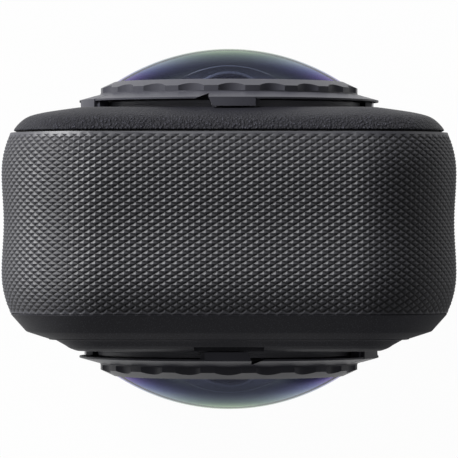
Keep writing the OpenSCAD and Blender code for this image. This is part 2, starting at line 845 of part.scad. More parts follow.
module heat_sink() {
    color([0.7, 0.72, 0.74]) front_view() {
        box(-sensor_board_w / 2, 13, lens_y - 9.5, inner_top, -board_z, board_z);
        box(12, board_x - 1.4, lens_y - 5.5, lens_y + 3.5, -board_z, board_z);
    }
}

module speaker() {
    color([0.12, 0.12, 0.12]) front_view() translate([speaker_x, speaker_y, floor_z - 4])
        cylinder(r = 5.4, h = 4);
}

module microphones() {
    color([0.75, 0.7, 0.5]) {
        front_view() translate([mic_x, detail_y, floor_z - 1.4]) cylinder(r = 1.6, h = 1.4);
        rear_view() translate([-screen_side, screen_side_y, shell_z - 1.4]) cylinder(r = 1.6, h = 1.4);
    }
}

module status_lights() {
    color([0.8, 0.8, 0.8]) {
        front_view() translate([light_x, detail_y, floor_z - 0.6])
            cylinder(r = 0.85, h = face_z - floor_z + 0.6);
        rear_view() translate([screen_side, screen_side_y, shell_z - 0.6])
            cylinder(r = 0.85, h = face_z - shell_z + 0.6);
    }
}

module base_plate() {
    color([0.18, 0.18, 0.19]) front_view() difference() {
        union() {
            box(-base_w / 2, base_w / 2, 0, inner_bottom + 0.2, -base_d / 2, base_d / 2);
            box(-run_x / 2, run_x / 2, inner_bottom, base_roof, -base_d / 2 - 1, base_d / 2 + 1);
        }
        box(base_wall - base_w / 2, base_w / 2 - base_wall, -1, recess_h, -finger_r - 0.2, finger_r + 0.2);
        translate([0, -1, 0]) rotate([-90, 0, 0]) cylinder(r = insert_r + touch, h = base_roof + 2);
        for (x = [-1, 1]) {
            translate([x * finger_hole_x, recess_h - 1, 0]) rotate([-90, 0, 0]) cylinder(r = 3, h = 2.6);
            translate([x * pivot_x, pivot_y, -base_d / 2 + 0.4])
                cylinder(r = finger_pin_r + touch, h = base_d - 0.8);
        }
    }
}

module finger() {
    difference() {
        union() {
            box(pivot_x, finger_hole_x, finger_low, finger_low + finger_t, -finger_r, finger_r);
            translate([finger_hole_x, finger_low, 0]) rotate([-90, 0, 0])
                cylinder(r = finger_r, h = finger_t);
            translate([pivot_x, pivot_y, -finger_r]) cylinder(r = finger_t / 2, h = 2 * finger_r);
        }
        translate([0, -1, 0]) rotate([-90, 0, 0]) cylinder(r = finger_notch_r, h = 6);
        box(-1, pivot_x + knuckle_relief, -1, 6, -knuckle_z, knuckle_z);
        translate([finger_hole_x, -1, 0]) rotate([-90, 0, 0]) cylinder(r = finger_hole_r, h = 6);
        translate([pivot_x, pivot_y, -finger_r - 1])
            cylinder(r = finger_pin_r + hairline, h = 2 * finger_r + 2);
    }
}

module right_finger() {
    color([0.3, 0.3, 0.32]) front_view() finger();
}

module left_finger() {
    color([0.3, 0.3, 0.32]) front_view() mirror([1, 0, 0]) finger();
}

module finger_pins() {
    pin_l = base_d / 2 - 0.5 - knuckle_z - 0.2;
    color([0.65, 0.65, 0.67]) front_view() for (x = [-pivot_x, pivot_x]) {
        translate([x, pivot_y, knuckle_z + 0.2]) cylinder(r = finger_pin_r, h = pin_l);
        translate([x, pivot_y, 0.5 - base_d / 2]) cylinder(r = finger_pin_r, h = pin_l);
    }
}

module tripod_insert() {
    color([0.72, 0.7, 0.62]) front_view() translate([0, foot_rise, 0]) rotate([-90, 0, 0]) difference() {
        union() {
            cylinder(r = insert_r, h = base_roof - foot_rise);
            translate([0, 0, base_roof - foot_rise])
                cylinder(r = insert_r + 1, h = tripod_depth - base_roof + foot_rise + 1);
        }
        translate([0, 0, -1]) cylinder(r = tripod_r, h = tripod_depth + 1);
    }
}

grip_band();
mid_frame();
front_cover();
front_plate();
rear_cover();
front_gasket();
rear_gasket();
cover_screws();
front_dome();
front_lens_ring();
front_lens_seal();
front_socket();
front_socket_nut();
front_barrel();
front_inner_lens();
front_relay_lens();
front_sensor();
front_sensor_board();
front_flex();
rear_dome();
rear_lens_ring();
rear_lens_seal();
rear_socket();
rear_socket_nut();
rear_barrel();
rear_inner_lens();
rear_relay_lens();
rear_sensor();
rear_sensor_board();
rear_flex();
screen_glass();
display_panel();
shutter_button();
shutter_switch();
mode_button();
mode_switch();
battery_door();
door_gasket();
door_hinge_pin();
door_latch();
latch_spring();
battery();
battery_tray();
battery_contacts();
card_socket();
memory_card();
port_board();
usb_port();
main_board();
processor();
heat_sink();
speaker();
microphones();
status_lights();
base_plate();
left_finger();
right_finger();
finger_pins();
tripod_insert();
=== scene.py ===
"""Looks of a 360-degree action camera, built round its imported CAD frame.

A rounded block carries a diamond-knurled grip band, a grained cover front and rear, and one
twist-off dome lens on each face. The photograph looks straight down on its top.
Shapes are drawn in a front view in millimetres, right, up and out of the face, as in the CAD.
"""

import functools
import json
import logging
import math
from collections.abc import Sequence
from dataclasses import dataclass, field
from enum import Enum

import bmesh
import bpy
from mathutils import Matrix, Vector

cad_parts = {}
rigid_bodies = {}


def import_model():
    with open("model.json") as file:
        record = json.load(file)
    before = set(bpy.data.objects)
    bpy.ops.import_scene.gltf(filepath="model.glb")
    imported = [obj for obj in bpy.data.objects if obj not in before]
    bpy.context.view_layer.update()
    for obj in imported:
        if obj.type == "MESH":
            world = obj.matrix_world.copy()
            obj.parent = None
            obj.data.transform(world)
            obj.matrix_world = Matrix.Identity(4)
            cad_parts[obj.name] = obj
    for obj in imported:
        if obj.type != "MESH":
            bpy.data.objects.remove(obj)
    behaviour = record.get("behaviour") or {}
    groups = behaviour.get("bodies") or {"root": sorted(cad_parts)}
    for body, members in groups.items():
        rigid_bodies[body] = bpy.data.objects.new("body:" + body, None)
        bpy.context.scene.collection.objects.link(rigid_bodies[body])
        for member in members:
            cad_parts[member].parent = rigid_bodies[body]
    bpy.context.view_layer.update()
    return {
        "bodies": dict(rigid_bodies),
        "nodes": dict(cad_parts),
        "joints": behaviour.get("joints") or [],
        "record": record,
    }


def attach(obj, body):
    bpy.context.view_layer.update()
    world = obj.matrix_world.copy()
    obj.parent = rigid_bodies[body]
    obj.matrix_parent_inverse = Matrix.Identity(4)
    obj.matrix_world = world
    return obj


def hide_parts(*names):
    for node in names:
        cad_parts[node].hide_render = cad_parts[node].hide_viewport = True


LOG = logging.getLogger("camera_scene")
MM = 0.001
IMAGE_WIDTH = 458
BODY = "camera_body"

Screen = tuple[int, int, int]
Linear = tuple[float, float, float, float]
Stops = tuple[tuple[float, Screen], ...]
Point2 = tuple[float, float]
Vector3 = tuple[float, float, float]
Row4 = tuple[float, float, float, float]
EVEN: Vector3 = (1.0, 1.0, 1.0)
WHITE: Linear = (1.0, 1.0, 1.0, 1.0)

# Both lenses share one axis: right and up, in millimetres
LENS_AXIS: Point2 = (0.0, 42.5)


class Face(Enum):
    """The two faces of the body that carry a lens and a cover."""

    FRONT = -1
    REAR = 1

    def matrix(self) -> Matrix:
        """Turns front-view millimetres into the frame's metres, seen from this face.

        Returns:
            The matrix for that face.
        """
        side = float(self.value)
        turn = Matrix(((-side, 0, 0, 0), (0, 0, side, 0), (0, 1, 0, 0), (0, 0, 0, 1)))
        return turn @ Matrix.Scale(MM, 4)

    def label(self) -> str:
        """Gives the word that this face's CAD nodes start with."""
        return self.name.lower()


RIGHT_SIDE = Matrix(((0, 0, 1, 0), (1, 0, 0, 0), (0, 1, 0, 0), (0, 0, 0, 1))) @ Matrix.Scale(MM, 4)


class Cut(Enum):
    """What a tool solid does to a piece."""

    REMOVE = "DIFFERENCE"
    ADD = "UNION"


def linear(shade: Screen) -> Linear:
    """Turns an 8-bit screen colour into the linear colour that shaders take.

    Args:
        shade: red, green and blue from 0 to 255.

    Returns:
        The linear colour with an alpha of 1.
    """
    parts = [value / 255 for value in shade]
    curve = [p / 12.92 if p <= 0.04045 else ((p + 0.055) / 1.055) ** 2.4 for p in parts]
    return (curve[0], curve[1], curve[2], 1.0)


def scaled(shade: Screen, share: float) -> Linear:
    """Gives a linear colour made lighter or darker.

    Args:
        shade: the 8-bit screen colour to start from.
        share: what its linear light is multiplied by.

    Returns:
        The changed linear colour.
    """
    red, green, blue, alpha = linear(shade)
    return (red * share, green * share, blue * share, alpha)


# Shader graphs


class Shade:
    """A shader output that stands in Python expressions; each operator adds a Math node."""

    def __init__(self, graph: "Graph", socket: bpy.types.NodeSocket) -> None:
        """Keeps the graph that new nodes go to and the output that the value comes from."""
        self.graph = graph
        self.socket = socket

    def _math(self, operation: str, first: "Shade | float", second: "Shade | float") -> "Shade":
        """Adds one Math node and gives its result."""
        return self.graph.node("ShaderNodeMath", {"operation": operation}, {0: first, 1: second})

    def __add__(self, other: "Shade | float") -> "Shade":
        """Adds a value."""
        return self._math("ADD", self, other)

    def __radd__(self, other: float) -> "Shade":
        """Adds this to a number."""
        return self._math("ADD", other, self)

    def __sub__(self, other: "Shade | float") -> "Shade":
        """Takes a value away."""
        return self._math("SUBTRACT", self, other)

    def __rsub__(self, other: float) -> "Shade":
        """Takes this away from a number."""
        return self._math("SUBTRACT", other, self)

    def __mul__(self, other: "Shade | float") -> "Shade":
        """Multiplies by a value."""
        return self._math("MULTIPLY", self, other)

    def __rmul__(self, other: float) -> "Shade":
        """Multiplies a number by this."""
        return self._math("MULTIPLY", other, self)

    def __pow__(self, other: "Shade | float") -> "Shade":
        """Raises to a power."""
        return self._math("POWER", self, other)

    def larger(self, other: "Shade | float") -> "Shade":
        """Gives the larger of two values."""
        return self._math("MAXIMUM", self, other)

    def size(self) -> "Shade":
        """Gives the value without its sign."""
        return self._math("ABSOLUTE", self, 0.0)

    def sine(self) -> "Shade":
        """Gives the sine of the value."""
        return self._math("SINE", self, 0.0)

    def rise(self, low: float, high: float) -> "Shade":
        """Rises smoothly from 0 at low to 1 at high."""
        return self.graph.node("ShaderNodeMapRange", {"interpolation_type": "SMOOTHSTEP"},
                               {"Value": self, "From Min": low, "From Max": high})

    def output(self, name: str) -> "Shade":
        """Gives another output of the node that this value comes from."""
        return Shade(self.graph, self.socket.node.outputs[name])


class Graph:
    """One node tree, filled by a finish or by the studio."""

    def __init__(self, tree: bpy.types.NodeTree) -> None:
        """Empties the tree that nodes are added to."""
        self.tree = tree
        tree.nodes.clear()

    def add(self, kind: str, settings: dict, sockets: dict) -> bpy.types.Node:
        """Adds a node to the tree.

        Args:
            kind: the node's type.
            settings: its properties, set first; stops fills a colour ramp.
            sockets: values or links of its inputs, by name or index.

        Returns:
            The node.
        """
        made = self.tree.nodes.new(kind)
        for name, value in settings.items():
            if name == "stops":
                self._fill_ramp(made.color_ramp, value)
            else:
                setattr(made, name, value)
        for name, value in sockets.items():
            if isinstance(value, Shade):
                self.tree.links.new(value.socket, made.inputs[name])
            else:
                made.inputs[name].default_value = value
        return made

    def _fill_ramp(self, ramp: bpy.types.ColorRamp, stops: Stops) -> None:
        """Replaces a ramp's stops.

        Args:
            ramp: the colour ramp.
            stops: places from 0 to 1 with their screen colours.
        """
        while len(ramp.elements) > 1:
            ramp.elements.remove(ramp.elements[-1])
        place, shade = stops[0]
        ramp.elements[0].position, ramp.elements[0].color = place, linear(shade)
        for place, shade in stops[1:]:
            ramp.elements.new(place).color = linear(shade)

    def node(self, kind: str, settings: dict | None = None, sockets: dict | None = None,
             output: int | str = 0) -> Shade:
        """Adds a node and gives one of its outputs, the first unless another is named."""
        return Shade(self, self.add(kind, settings or {}, sockets or {}).outputs[output])

    def place(self) -> Shade:
        """Gives the point on the piece, in metres of the frame at rest."""
        return self.node("ShaderNodeTexCoord", output="Object")

    def parts(self) -> tuple[Shade, Shade, Shade]:
        """Gives the three parts of the point on the piece."""
        split = self.node("ShaderNodeSeparateXYZ", sockets={0: self.place()}, output="X")
        return split, split.output("Y"), split.output("Z")

    def off_axis(self, rim: float) -> Shade:
        """Gives the distance from the lens axis as a share of the rim's radius.

        Args:
            rim: radius that counts as 1, in millimetres.

        Returns:
            0 on the axis and 1 at the rim.
        """
        right, _, up = self.parts()
        high = up - LENS_AXIS[1] * MM
        return (right * right + high * high) ** 0.5 * (1 / (rim * MM))

    def tilt(self) -> Shade:
        """Gives 0 where a surface faces the viewer and 1 where it turns edge-on."""
        return self.node("ShaderNodeLayerWeight", sockets={"Blend": 0.5}, output="Facing")

    def glance(self, base: float) -> Shade:
        """Gives the share of light that polished glass mirrors, base where it faces the viewer."""
        return base + (1.0 - base) * self.tilt() ** 5.0

    def drawn_out(self, stretch: Vector3) -> Shade:
        """Gives the point on the piece with each part multiplied, so that patterns draw out."""
        return self.node("ShaderNodeVectorMath", {"operation": "MULTIPLY"}, {0: self.place(), 1: stretch})

    def noise(self, grain: float, detail: float = 2.0, rough: float = 0.5,
              stretch: Vector3 = EVEN) -> Shade:
        """Gives a soft noise.

        Args:
            grain: the size of its patches, in millimetres.
            detail: how many finer layers it has.
            rough: how strong the finer layers are.
            stretch: how many patches lie along each direction, against the others.

        Returns:
            Values from 0 to 1.
        """
        return self.node("ShaderNodeTexNoise", sockets={
            "Vector": self.drawn_out(stretch), "Scale": 1 / (grain * MM), "Detail": detail,
            "Roughness": rough})

    def cells(self, grain: float, stretch: Vector3 = EVEN) -> Shade:
        """Gives the distance to the nearest of a scatter of points, patches grain mm across."""
        return self.node("ShaderNodeTexVoronoi", sockets={
            "Vector": self.drawn_out(stretch), "Scale": 1 / (grain * MM)})

    def mix(self, share: Shade, first: "Shade | Linear", second: "Shade | Linear") -> Shade:
        """Goes from one colour to another by a share from 0 to 1."""
        return self.node("ShaderNodeMix", {"data_type": "RGBA"}, {0: share, 6: first, 7: second}, 2)

    def ramp(self, stops: Stops, share: Shade) -> Shade:
        """Looks a share from 0 to 1 up in a row of screen colours."""
        return self.node("ShaderNodeValToRGB", {"stops": stops}, {0: share})

    def bump(self, height: Shade, strength: float, relief: float) -> Shade:
        """Turns a height into a normal; relief is its depth in millimetres."""
        return self.node("ShaderNodeBump", sockets={
            "Strength": strength, "Distance": relief * MM, "Height": height})

    def surface(self, sockets: dict) -> Shade:
        """Adds a Principled shader with the given sockets."""
        return self.node("ShaderNodeBsdfPrincipled", sockets=sockets)

    def clear(self, tone: Screen) -> Shade:
        """Adds a shader that lets light pass in one colour."""
        return self.node("ShaderNodeBsdfTransparent", sockets={"Color": linear(tone)})

    def blend(self, share: Shade, first: Shade, second: Shade) -> Shade:
        """Goes from one shader to another by a share from 0 to 1."""
        return self.node("ShaderNodeMixShader", sockets={0: share, 1: first, 2: second})

    def rays(self) -> tuple[Shade, Shade]:
        """Gives 1 for rays the camera sees directly or through glass, and 1 for mirrored rays."""
        path = self.node("ShaderNodeLightPath", output="Is Camera Ray")
        return path.larger(path.output("Is Transmission Ray")), path.output("Is Glossy Ray")

    def close(self, shader: Shade, kind: str = "ShaderNodeOutputMaterial") -> None:
        """Links the finished shader to the tree's output."""
        self.add(kind, {}, {"Surface": shader})


# Finishes


@dataclass(frozen=True)
class Finish:
    """A procedural material and the name of a record slot."""

    name: str
    slot: str

    def shader(self, graph: Graph) -> Shade:
        """Builds the finish's shader; each finish gives its own."""
        raise NotImplementedError

    @functools.cache
    def material(self) -> bpy.types.Material:
        """Builds the material once and gives it back afterwards.

        Returns:
            The material.
        """
        made = bpy.data.materials.new(self.name)
        made.use_nodes = True
        graph = Graph(made.node_tree)
        graph.close(self.shader(graph))
        return made


@dataclass(frozen=True)
class KnurledRubber(Finish):
    """Hard rubber cut into diamonds, with painted shade darkening its grooves."""

    tone: Screen = (54, 54, 60)
    groove_shade_tone: Screen = (28, 28, 32)
    roughness: float = 0.5

    def shader(self, graph: Graph) -> Shade:
        """Mixes the point colour with painted groove shade by the groove depth stored on the mesh.

        Args:
            graph: the material's node tree.

        Returns:
            The finished shader.
        """
        groove = graph.node("ShaderNodeAttribute", {"attribute_name": "groove"}, output="Fac")
        cloud = graph.noise(6.0, 3.0)
        fleck = graph.noise(0.12, 2.0, 0.6)
        points = graph.mix(cloud, scaled(self.tone, 0.86), scaled(self.tone, 1.12))
        # painted shade: the grooves are darkened by their depth, as if light did not reach into them
        colour = graph.mix(groove.rise(0.3, 1.0), points, linear(self.groove_shade_tone))
        gloss = self.roughness - 0.1 * cloud + 0.14 * fleck + 0.12 * groove
        return graph.surface({"Base Color": colour, "Roughness": gloss,
                              "Normal": graph.bump(fleck, 0.2, 0.02),
                              "Specular IOR Level": 0.72})


@dataclass(frozen=True)
class GrainedPlastic(Finish):
    """Moulded plastic with a spark-eroded grain, painted highlights on its tops and a slow drift of tone."""

    tone: Screen = (50, 50, 54)
    roughness: float = 0.5
    grain: float = 0.28
    relief: float = 0.05
    strength: float = 0.6
    drift: float = 0.12
    specular: float = 0.4
    stretch: Vector3 = EVEN
    top_highlight_share: float = 0.25

    def grain_share(self, graph: Graph) -> "Shade | float":
        """Gives how much of the grain shows; all of it here."""
        return 1.0

    def shader(self, graph: Graph) -> Shade:
        """Lays cells over fine noise for the grain, with painted highlights on its tops, and lets tone and
        gloss drift.

        Args:
            graph: the material's node tree.

        Returns:
            The finished shader.
        """
        cloud = graph.noise(9.0, 3.0)
        fine = graph.noise(self.grain * 0.5, 2.0, 0.65, self.stretch)
        share = self.grain_share(graph)
        bumps = 0.75 - 0.65 * graph.cells(self.grain, self.stretch) + 0.5 * (fine - 0.5)
        height = bumps * share
        even = graph.mix(cloud, scaled(self.tone, 1 - self.drift), scaled(self.tone, 1 + self.drift))
        # painted highlight: the tops of the grain are lightened as if they caught the light
        grain_top_highlight = bumps.rise(0.5, 0.72) * share * self.top_highlight_share
        colour = graph.mix(grain_top_highlight, even, scaled(self.tone, 5.0))
        gloss = self.roughness + 0.12 * (fine - 0.5) - 0.08 * (cloud - 0.5)
        return graph.surface({"Base Color": colour, "Roughness": gloss,
                              "Normal": graph.bump(height, self.strength, self.relief),
                              "Specular IOR Level": self.specular})


@dataclass(frozen=True)
class SeamGrain(GrainedPlastic):
    """Grained plastic whose grain dies away from the seam towards the lens and the corners."""

    rough_to: float = 14.4
    calm_from: float = 16.0
    corner: Point2 = (19.0, 30.0)

    def grain_share(self, graph: Graph) -> "Shade | float":
        """Gives full grain at the seam and little of it near the lens and round the corners.

        Args:
            graph: the material's node tree.

        Returns:
            The share, from 0 to 1.
        """
        right, depth, _ = graph.parts()
        near_lens = depth.size().rise(self.rough_to * MM, self.calm_from * MM)
        at_corner = right.size().rise(self.corner[0] * MM, self.corner[1] * MM)
        return (1.0 - 0.85 * near_lens) * (1.0 - 0.7 * at_corner)


@dataclass(frozen=True)
class SatinPlastic(Finish):
    """Smooth satin plastic with faint flow streaks and rubbed patches."""

    tone: Screen = (58, 58, 63)
    roughness: float = 0.36
    grain: float = 0.1
    specular: float = 0.5

    def shader(self, graph: Graph) -> Shade:
        """Drifts the tone and rubs the gloss in patches over a very fine grain.

        Args:
            graph: the material's node tree.

        Returns:
            The finished shader.
        """
        cloud = graph.noise(5.0, 4.0)
        fine = graph.noise(self.grain, 1.0)
        colour = graph.mix(cloud, scaled(self.tone, 0.88), scaled(self.tone, 1.12))
        gloss = self.roughness + 0.14 * (cloud - 0.5) + 0.08 * (fine - 0.5)
        return graph.surface({"Base Color": colour, "Roughness": gloss,
                              "Normal": graph.bump(fine, 0.18, 0.015),
                              "Specular IOR Level": self.specular})


@dataclass(frozen=True)
class CoatedGlass(Finish):
    """Clear curved glass whose coating shines in colours that change from its middle to its rim."""

    rim: float = 15.9
    mirrored: float = 0.03
    facing: Screen = (124, 128, 146)
    rings: Stops = (
        (0.0, (226, 255, 204)), (0.34, (218, 252, 202)), (0.52, (190, 216, 210)),
        (0.7, (208, 226, 255)), (0.86, (168, 174, 255)), (0.96, (176, 140, 255)))
    rings_tilt: Point2 = (0.58, 0.83)
    through: Screen = (236, 237, 240)
    painted_steep_shade: Screen = (138, 144, 150)
    painted_rim_tint: Screen = (112, 112, 168)
    steep_tilt: Point2 = (0.35, 0.7)
    rim_reach: Point2 = (0.45, 0.9)
    rim_tilt: Point2 = (0.54, 0.74)
    painted_edge_tone: Screen = (20, 22, 30)
    line_starts: Point2 = (0.865, 0.89)
    line_ends: Point2 = (0.92, 0.945)

    def shader(self, graph: Graph) -> Shade:
        """Blends clear glass with a coloured mirror by how steeply it is seen, with painted shade where it
        is steep and a painted dark line at its edge.

        Args:
            graph: the material's node tree.

        Returns:
            The finished shader.
        """
        reach = graph.off_axis(self.rim)
        haze = graph.noise(7.0, 2.0)
        tilt = graph.tilt()
        coat = graph.ramp(self.rings, reach + 0.08 * (haze - 0.5))
        shine = graph.mix(tilt.rise(*self.rings_tilt), linear(self.facing), coat)
        mirror = graph.surface({"Base Color": shine, "Metallic": 1.0, "Roughness": 0.03,
                                "Specular Tint": (0.86, 0.9, 0.9, 1.0)})
        # painted shade and colour: where the dome is steep the light through it is dimmed, and towards the
        # rim tinted violet to deepen the coating's colours
        sides = reach.rise(*self.rim_reach) * tilt.rise(*self.rim_tilt)
        steep = graph.blend(sides, graph.clear(self.painted_steep_shade), graph.clear(self.painted_rim_tint))
        clear = graph.blend(tilt.rise(*self.steep_tilt), graph.clear(self.through), steep)
        glass = graph.blend(graph.glance(self.mirrored), clear, mirror)
        # painted shade: a thin dark line just inside the dome's silhouette stands for the dark parts that
        # its edge refracts
        edge = tilt + 0.05 * reach
        line = edge.rise(*self.line_starts) * (1.0 - edge.rise(*self.line_ends)) * (0.35 + 0.65 * reach)
        painted_edge_surface = graph.surface({"Base Color": linear(self.painted_edge_tone), "Roughness": 0.3 + 0.1 * haze,
                             "Specular IOR Level": 0.1})
        return graph.blend(line, glass, painted_edge_surface)


@dataclass(frozen=True)
class ClearElement(Finish):
    """Clear inner glass with a faint coating and a painted pale highlight where its face turns edge-on near
    its middle.
    """

    rim: float = 9.6
    mirrored: float = 0.004
    coat_middle: Screen = (150, 166, 190)
    coat_rim: Screen = (140, 128, 200)
    through: Screen = (196, 197, 208)
    edge: Screen = (246, 246, 250)
    painted_arc_tilt: Point2 = (0.84, 0.94)
    painted_arc_reach: Point2 = (0.5, 0.72)

    def shader(self, graph: Graph) -> Shade:
        """Blends clear glass with a violet mirror, then with a pale matt band, a painted highlight, where
        seen edge-on.

        Args:
            graph: the material's node tree.

        Returns:
            The finished shader.
        """
        reach = graph.off_axis(self.rim)
        haze = graph.noise(2.0, 2.0)
        coat = graph.mix(reach, linear(self.coat_middle), linear(self.coat_rim))
        mirror = graph.surface({"Base Color": coat, "Metallic": 1.0, "Roughness": 0.04})
        glass = graph.blend(graph.glance(self.mirrored), graph.clear(self.through), mirror)
        # painted highlight: a pale matt surface where the element turns edge-on stands for the bright arc
        # that its edge catches
        frost = graph.surface({"Base Color": linear(self.edge), "Roughness": 0.4 + 0.2 * haze})
        edge = graph.tilt().rise(*self.painted_arc_tilt) * (1.0 - reach.rise(*self.painted_arc_reach))
        return graph.blend(edge, glass, frost)


@dataclass(frozen=True)
class DeepElement(Finish):
    """Inner glass element over a dark lens barrel, with a deep violet coating and a painted pale highlight
    along its edge.
    """

    rim: float = 5.6
    rings: Stops = ((0.0, (8, 12, 18)), (0.35, (12, 16, 28)), (0.62, (22, 20, 40)), (0.86, (16, 17, 27)),
                    (0.97, (36, 38, 50)))
    edge: Screen = (236, 240, 248)
    painted_arc_tilt: Point2 = (0.62, 0.78)

    def shader(self, graph: Graph) -> Shade:
        """Lays rings of deep blue and violet under a faint reflection, with a painted pale highlight where
        seen edge-on.

        Args:
            graph: the material's node tree.

        Returns:
            The finished shader.
        """
        reach = graph.off_axis(self.rim)
        haze = graph.noise(3.0, 2.0)
        colour = graph.ramp(self.rings, reach + 0.03 * (haze - 0.5))
        # painted highlight: pale colour where the element turns edge-on
        painted_arc_colour = graph.mix(graph.tilt().rise(*self.painted_arc_tilt), colour, linear(self.edge))
        return graph.surface({"Base Color": painted_arc_colour, "Roughness": 0.06 + 0.04 * haze,
                              "Specular IOR Level": 0.12})


@dataclass(frozen=True)
class BarrelBlack(Finish):
    """Matt black lens barrel with fine turned lines that swallow stray light."""

    tone: Screen = (20, 20, 24)
    pitch: float = 0.35

    def shader(self, graph: Graph) -> Shade:
        """Raises rings round the lens axis and breaks them up with noise.

        Args:
            graph: the material's node tree.

        Returns:
            The finished shader.
        """
        rings = (graph.off_axis(self.pitch) * (2 * math.pi)).sine()
        cloud = graph.noise(2.0, 3.0)
        colour = graph.mix(cloud, scaled(self.tone, 0.8), scaled(self.tone, 1.25))
        return graph.surface({"Base Color": colour, "Roughness": 0.5 + 0.15 * cloud,
                              "Normal": graph.bump(rings, 0.35, 0.03)})


@dataclass(frozen=True)
class ScreenGlass(Finish):
    """Black cover glass over a sleeping display, with faint smears."""

    tone: Screen = (10, 10, 12)

    def shader(self, graph: Graph) -> Shade:
        """Lets smears lift the gloss of a near-black coated surface.

        Args:
            graph: the material's node tree.

        Returns:
            The finished shader.
        """
        smear = graph.noise(4.0, 4.0, 0.6)
        colour = graph.mix(smear, linear(self.tone), scaled(self.tone, 1.5))
        return graph.surface({"Base Color": colour, "Roughness": 0.05 + 0.09 * smear.rise(0.55, 0.8),
                              "Coat Weight": 0.25, "Coat Roughness": 0.03,
                              "Specular IOR Level": 0.3})


@dataclass(frozen=True)
class WorkedMetal(Finish):
    """Metal with brushed or turned lines along one axis and small blotches of tarnish."""

    tone: Screen = (160, 160, 164)
    roughness: float = 0.34
    stretch: Vector3 = (1.0, 1.0, 12.0)
    tarnish: float = 0.18

    def shader(self, graph: Graph) -> Shade:
        """Stretches noise into lines for gloss and bump and tarnishes in patches.

        Args:
            graph: the material's node tree.

        Returns:
            The finished shader.
        """
        lines = graph.noise(1.1, 3.0, 0.5, self.stretch)
        cloud = graph.noise(3.0, 3.0)
        colour = graph.mix(cloud, scaled(self.tone, 1 - self.tarnish), scaled(self.tone, 1.05))
        gloss = self.roughness + 0.2 * (lines - 0.5) + 0.12 * (cloud - 0.5)
        return graph.surface({"Base Color": colour, "Metallic": 1.0, "Roughness": gloss,
                              "Normal": graph.bump(lines, 0.15, 0.02)})


@dataclass(frozen=True)
class SealRubber(Finish):
    """Soft sealing rubber with a bloom of talc."""

    tone: Screen = (26, 26, 27)

    def shader(self, graph: Graph) -> Shade:
        """Blooms pale patches over a matt base.

        Args:
            graph: the material's node tree.

        Returns:
            The finished shader.
        """
        bloom = graph.noise(1.6, 4.0, 0.6)
        colour = graph.mix(bloom.rise(0.45, 0.85), linear(self.tone), scaled(self.tone, 2.2))
        return graph.surface({"Base Color": colour, "Roughness": 0.6 + 0.2 * bloom,
                              "Normal": graph.bump(bloom, 0.15, 0.03)})


@dataclass(frozen=True)
class BoardMask(Finish):
    """Circuit board under solder mask, with traces, pads and small dark parts."""

    tone: Screen = (18, 74, 52)
    pad_tone: Screen = (176, 158, 110)

    def shader(self, graph: Graph) -> Shade:
        """Draws traces as brick joints and pads as small cells over the mask colour.

        Args:
            graph: the material's node tree.

        Returns:
            The finished shader.
        """
        lanes = graph.node("ShaderNodeTexBrick", {"offset": 0.37}, {
            "Vector": graph.place(), "Scale": 420.0, "Mortar Size": 0.03,
            "Color1": (0, 0, 0, 1), "Color2": (0.15, 0.15, 0.15, 1), "Mortar": (1, 1, 1, 1)}, "Fac")
        pads = 1 - graph.cells(1.7).rise(0.16, 0.2)
        cloud = graph.noise(4.0)
        mask = graph.mix(cloud, scaled(self.tone, 0.8), scaled(self.tone, 1.15))
        traced = graph.mix(lanes, mask, scaled(self.tone, 1.9))
        colour = graph.mix(pads, traced, linear(self.pad_tone))
        return graph.surface({"Base Color": colour, "Metallic": 0.85 * pads,
                              "Roughness": 0.32 + 0.2 * cloud,
                              "Normal": graph.bump(lanes + pads, 0.3, 0.03)})


@dataclass(frozen=True)
class CopperFilm(Finish):
    """Amber flat cable with copper lanes under the film."""

    tone: Screen = (186, 116, 40)
    lane: float = 0.4

    def shader(self, graph: Graph) -> Shade:
        """Runs darker lanes along the cable.

        Args:
            graph: the material's node tree.

        Returns:
            The finished shader.
        """
        _, _, up = graph.parts()
        lanes = (up * (2 * math.pi / (self.lane * MM))).sine()
        cloud = graph.noise(2.0)
        colour = graph.mix(lanes.rise(-0.2, 0.4), scaled(self.tone, 0.55), linear(self.tone))
        return graph.surface({"Base Color": colour, "Roughness": 0.25 + 0.15 * cloud,
                              "Coat Weight": 0.3, "Coat Roughness": 0.1})


@dataclass(frozen=True)
class LightGuide(Finish):
    """Frosted light guide of a status light that is off."""

    tone: Screen = (196, 198, 196)

    def shader(self, graph: Graph) -> Shade:
        """Frosts a pale plastic.

        Args:
            graph: the material's node tree.

        Returns:
            The finished shader.
        """
        frost = graph.noise(0.3, 3.0)
        colour = graph.mix(frost, scaled(self.tone, 0.75), linear(self.tone))
        return graph.surface({"Base Color": colour, "Roughness": 0.3 + 0.2 * frost,
                              "Subsurface Weight": 0.15, "Subsurface Scale": 0.0005})


@dataclass(frozen=True)
class WovenCloth(Finish):
    """Acoustic cloth over the speaker, woven from fine black threads."""

    tone: Screen = (34, 34, 37)
    thread: float = 0.22

    def shader(self, graph: Graph) -> Shade:
        """Crosses two sets of threads by sine waves.

        Args:
            graph: the material's node tree.

        Returns:
            The finished shader.
        """
        right, _, up = graph.parts()
        turn = 2 * math.pi / (self.thread * MM)
        weave = (right * turn).sine() * (up * turn).sine() * 0.5 + 0.5
        colour = graph.mix(weave, scaled(self.tone, 0.4), scaled(self.tone, 1.3))
        return graph.surface({"Base Color": colour, "Roughness": 0.7 + 0.1 * weave,
                              "Normal": graph.bump(weave, 0.5, 0.06)})


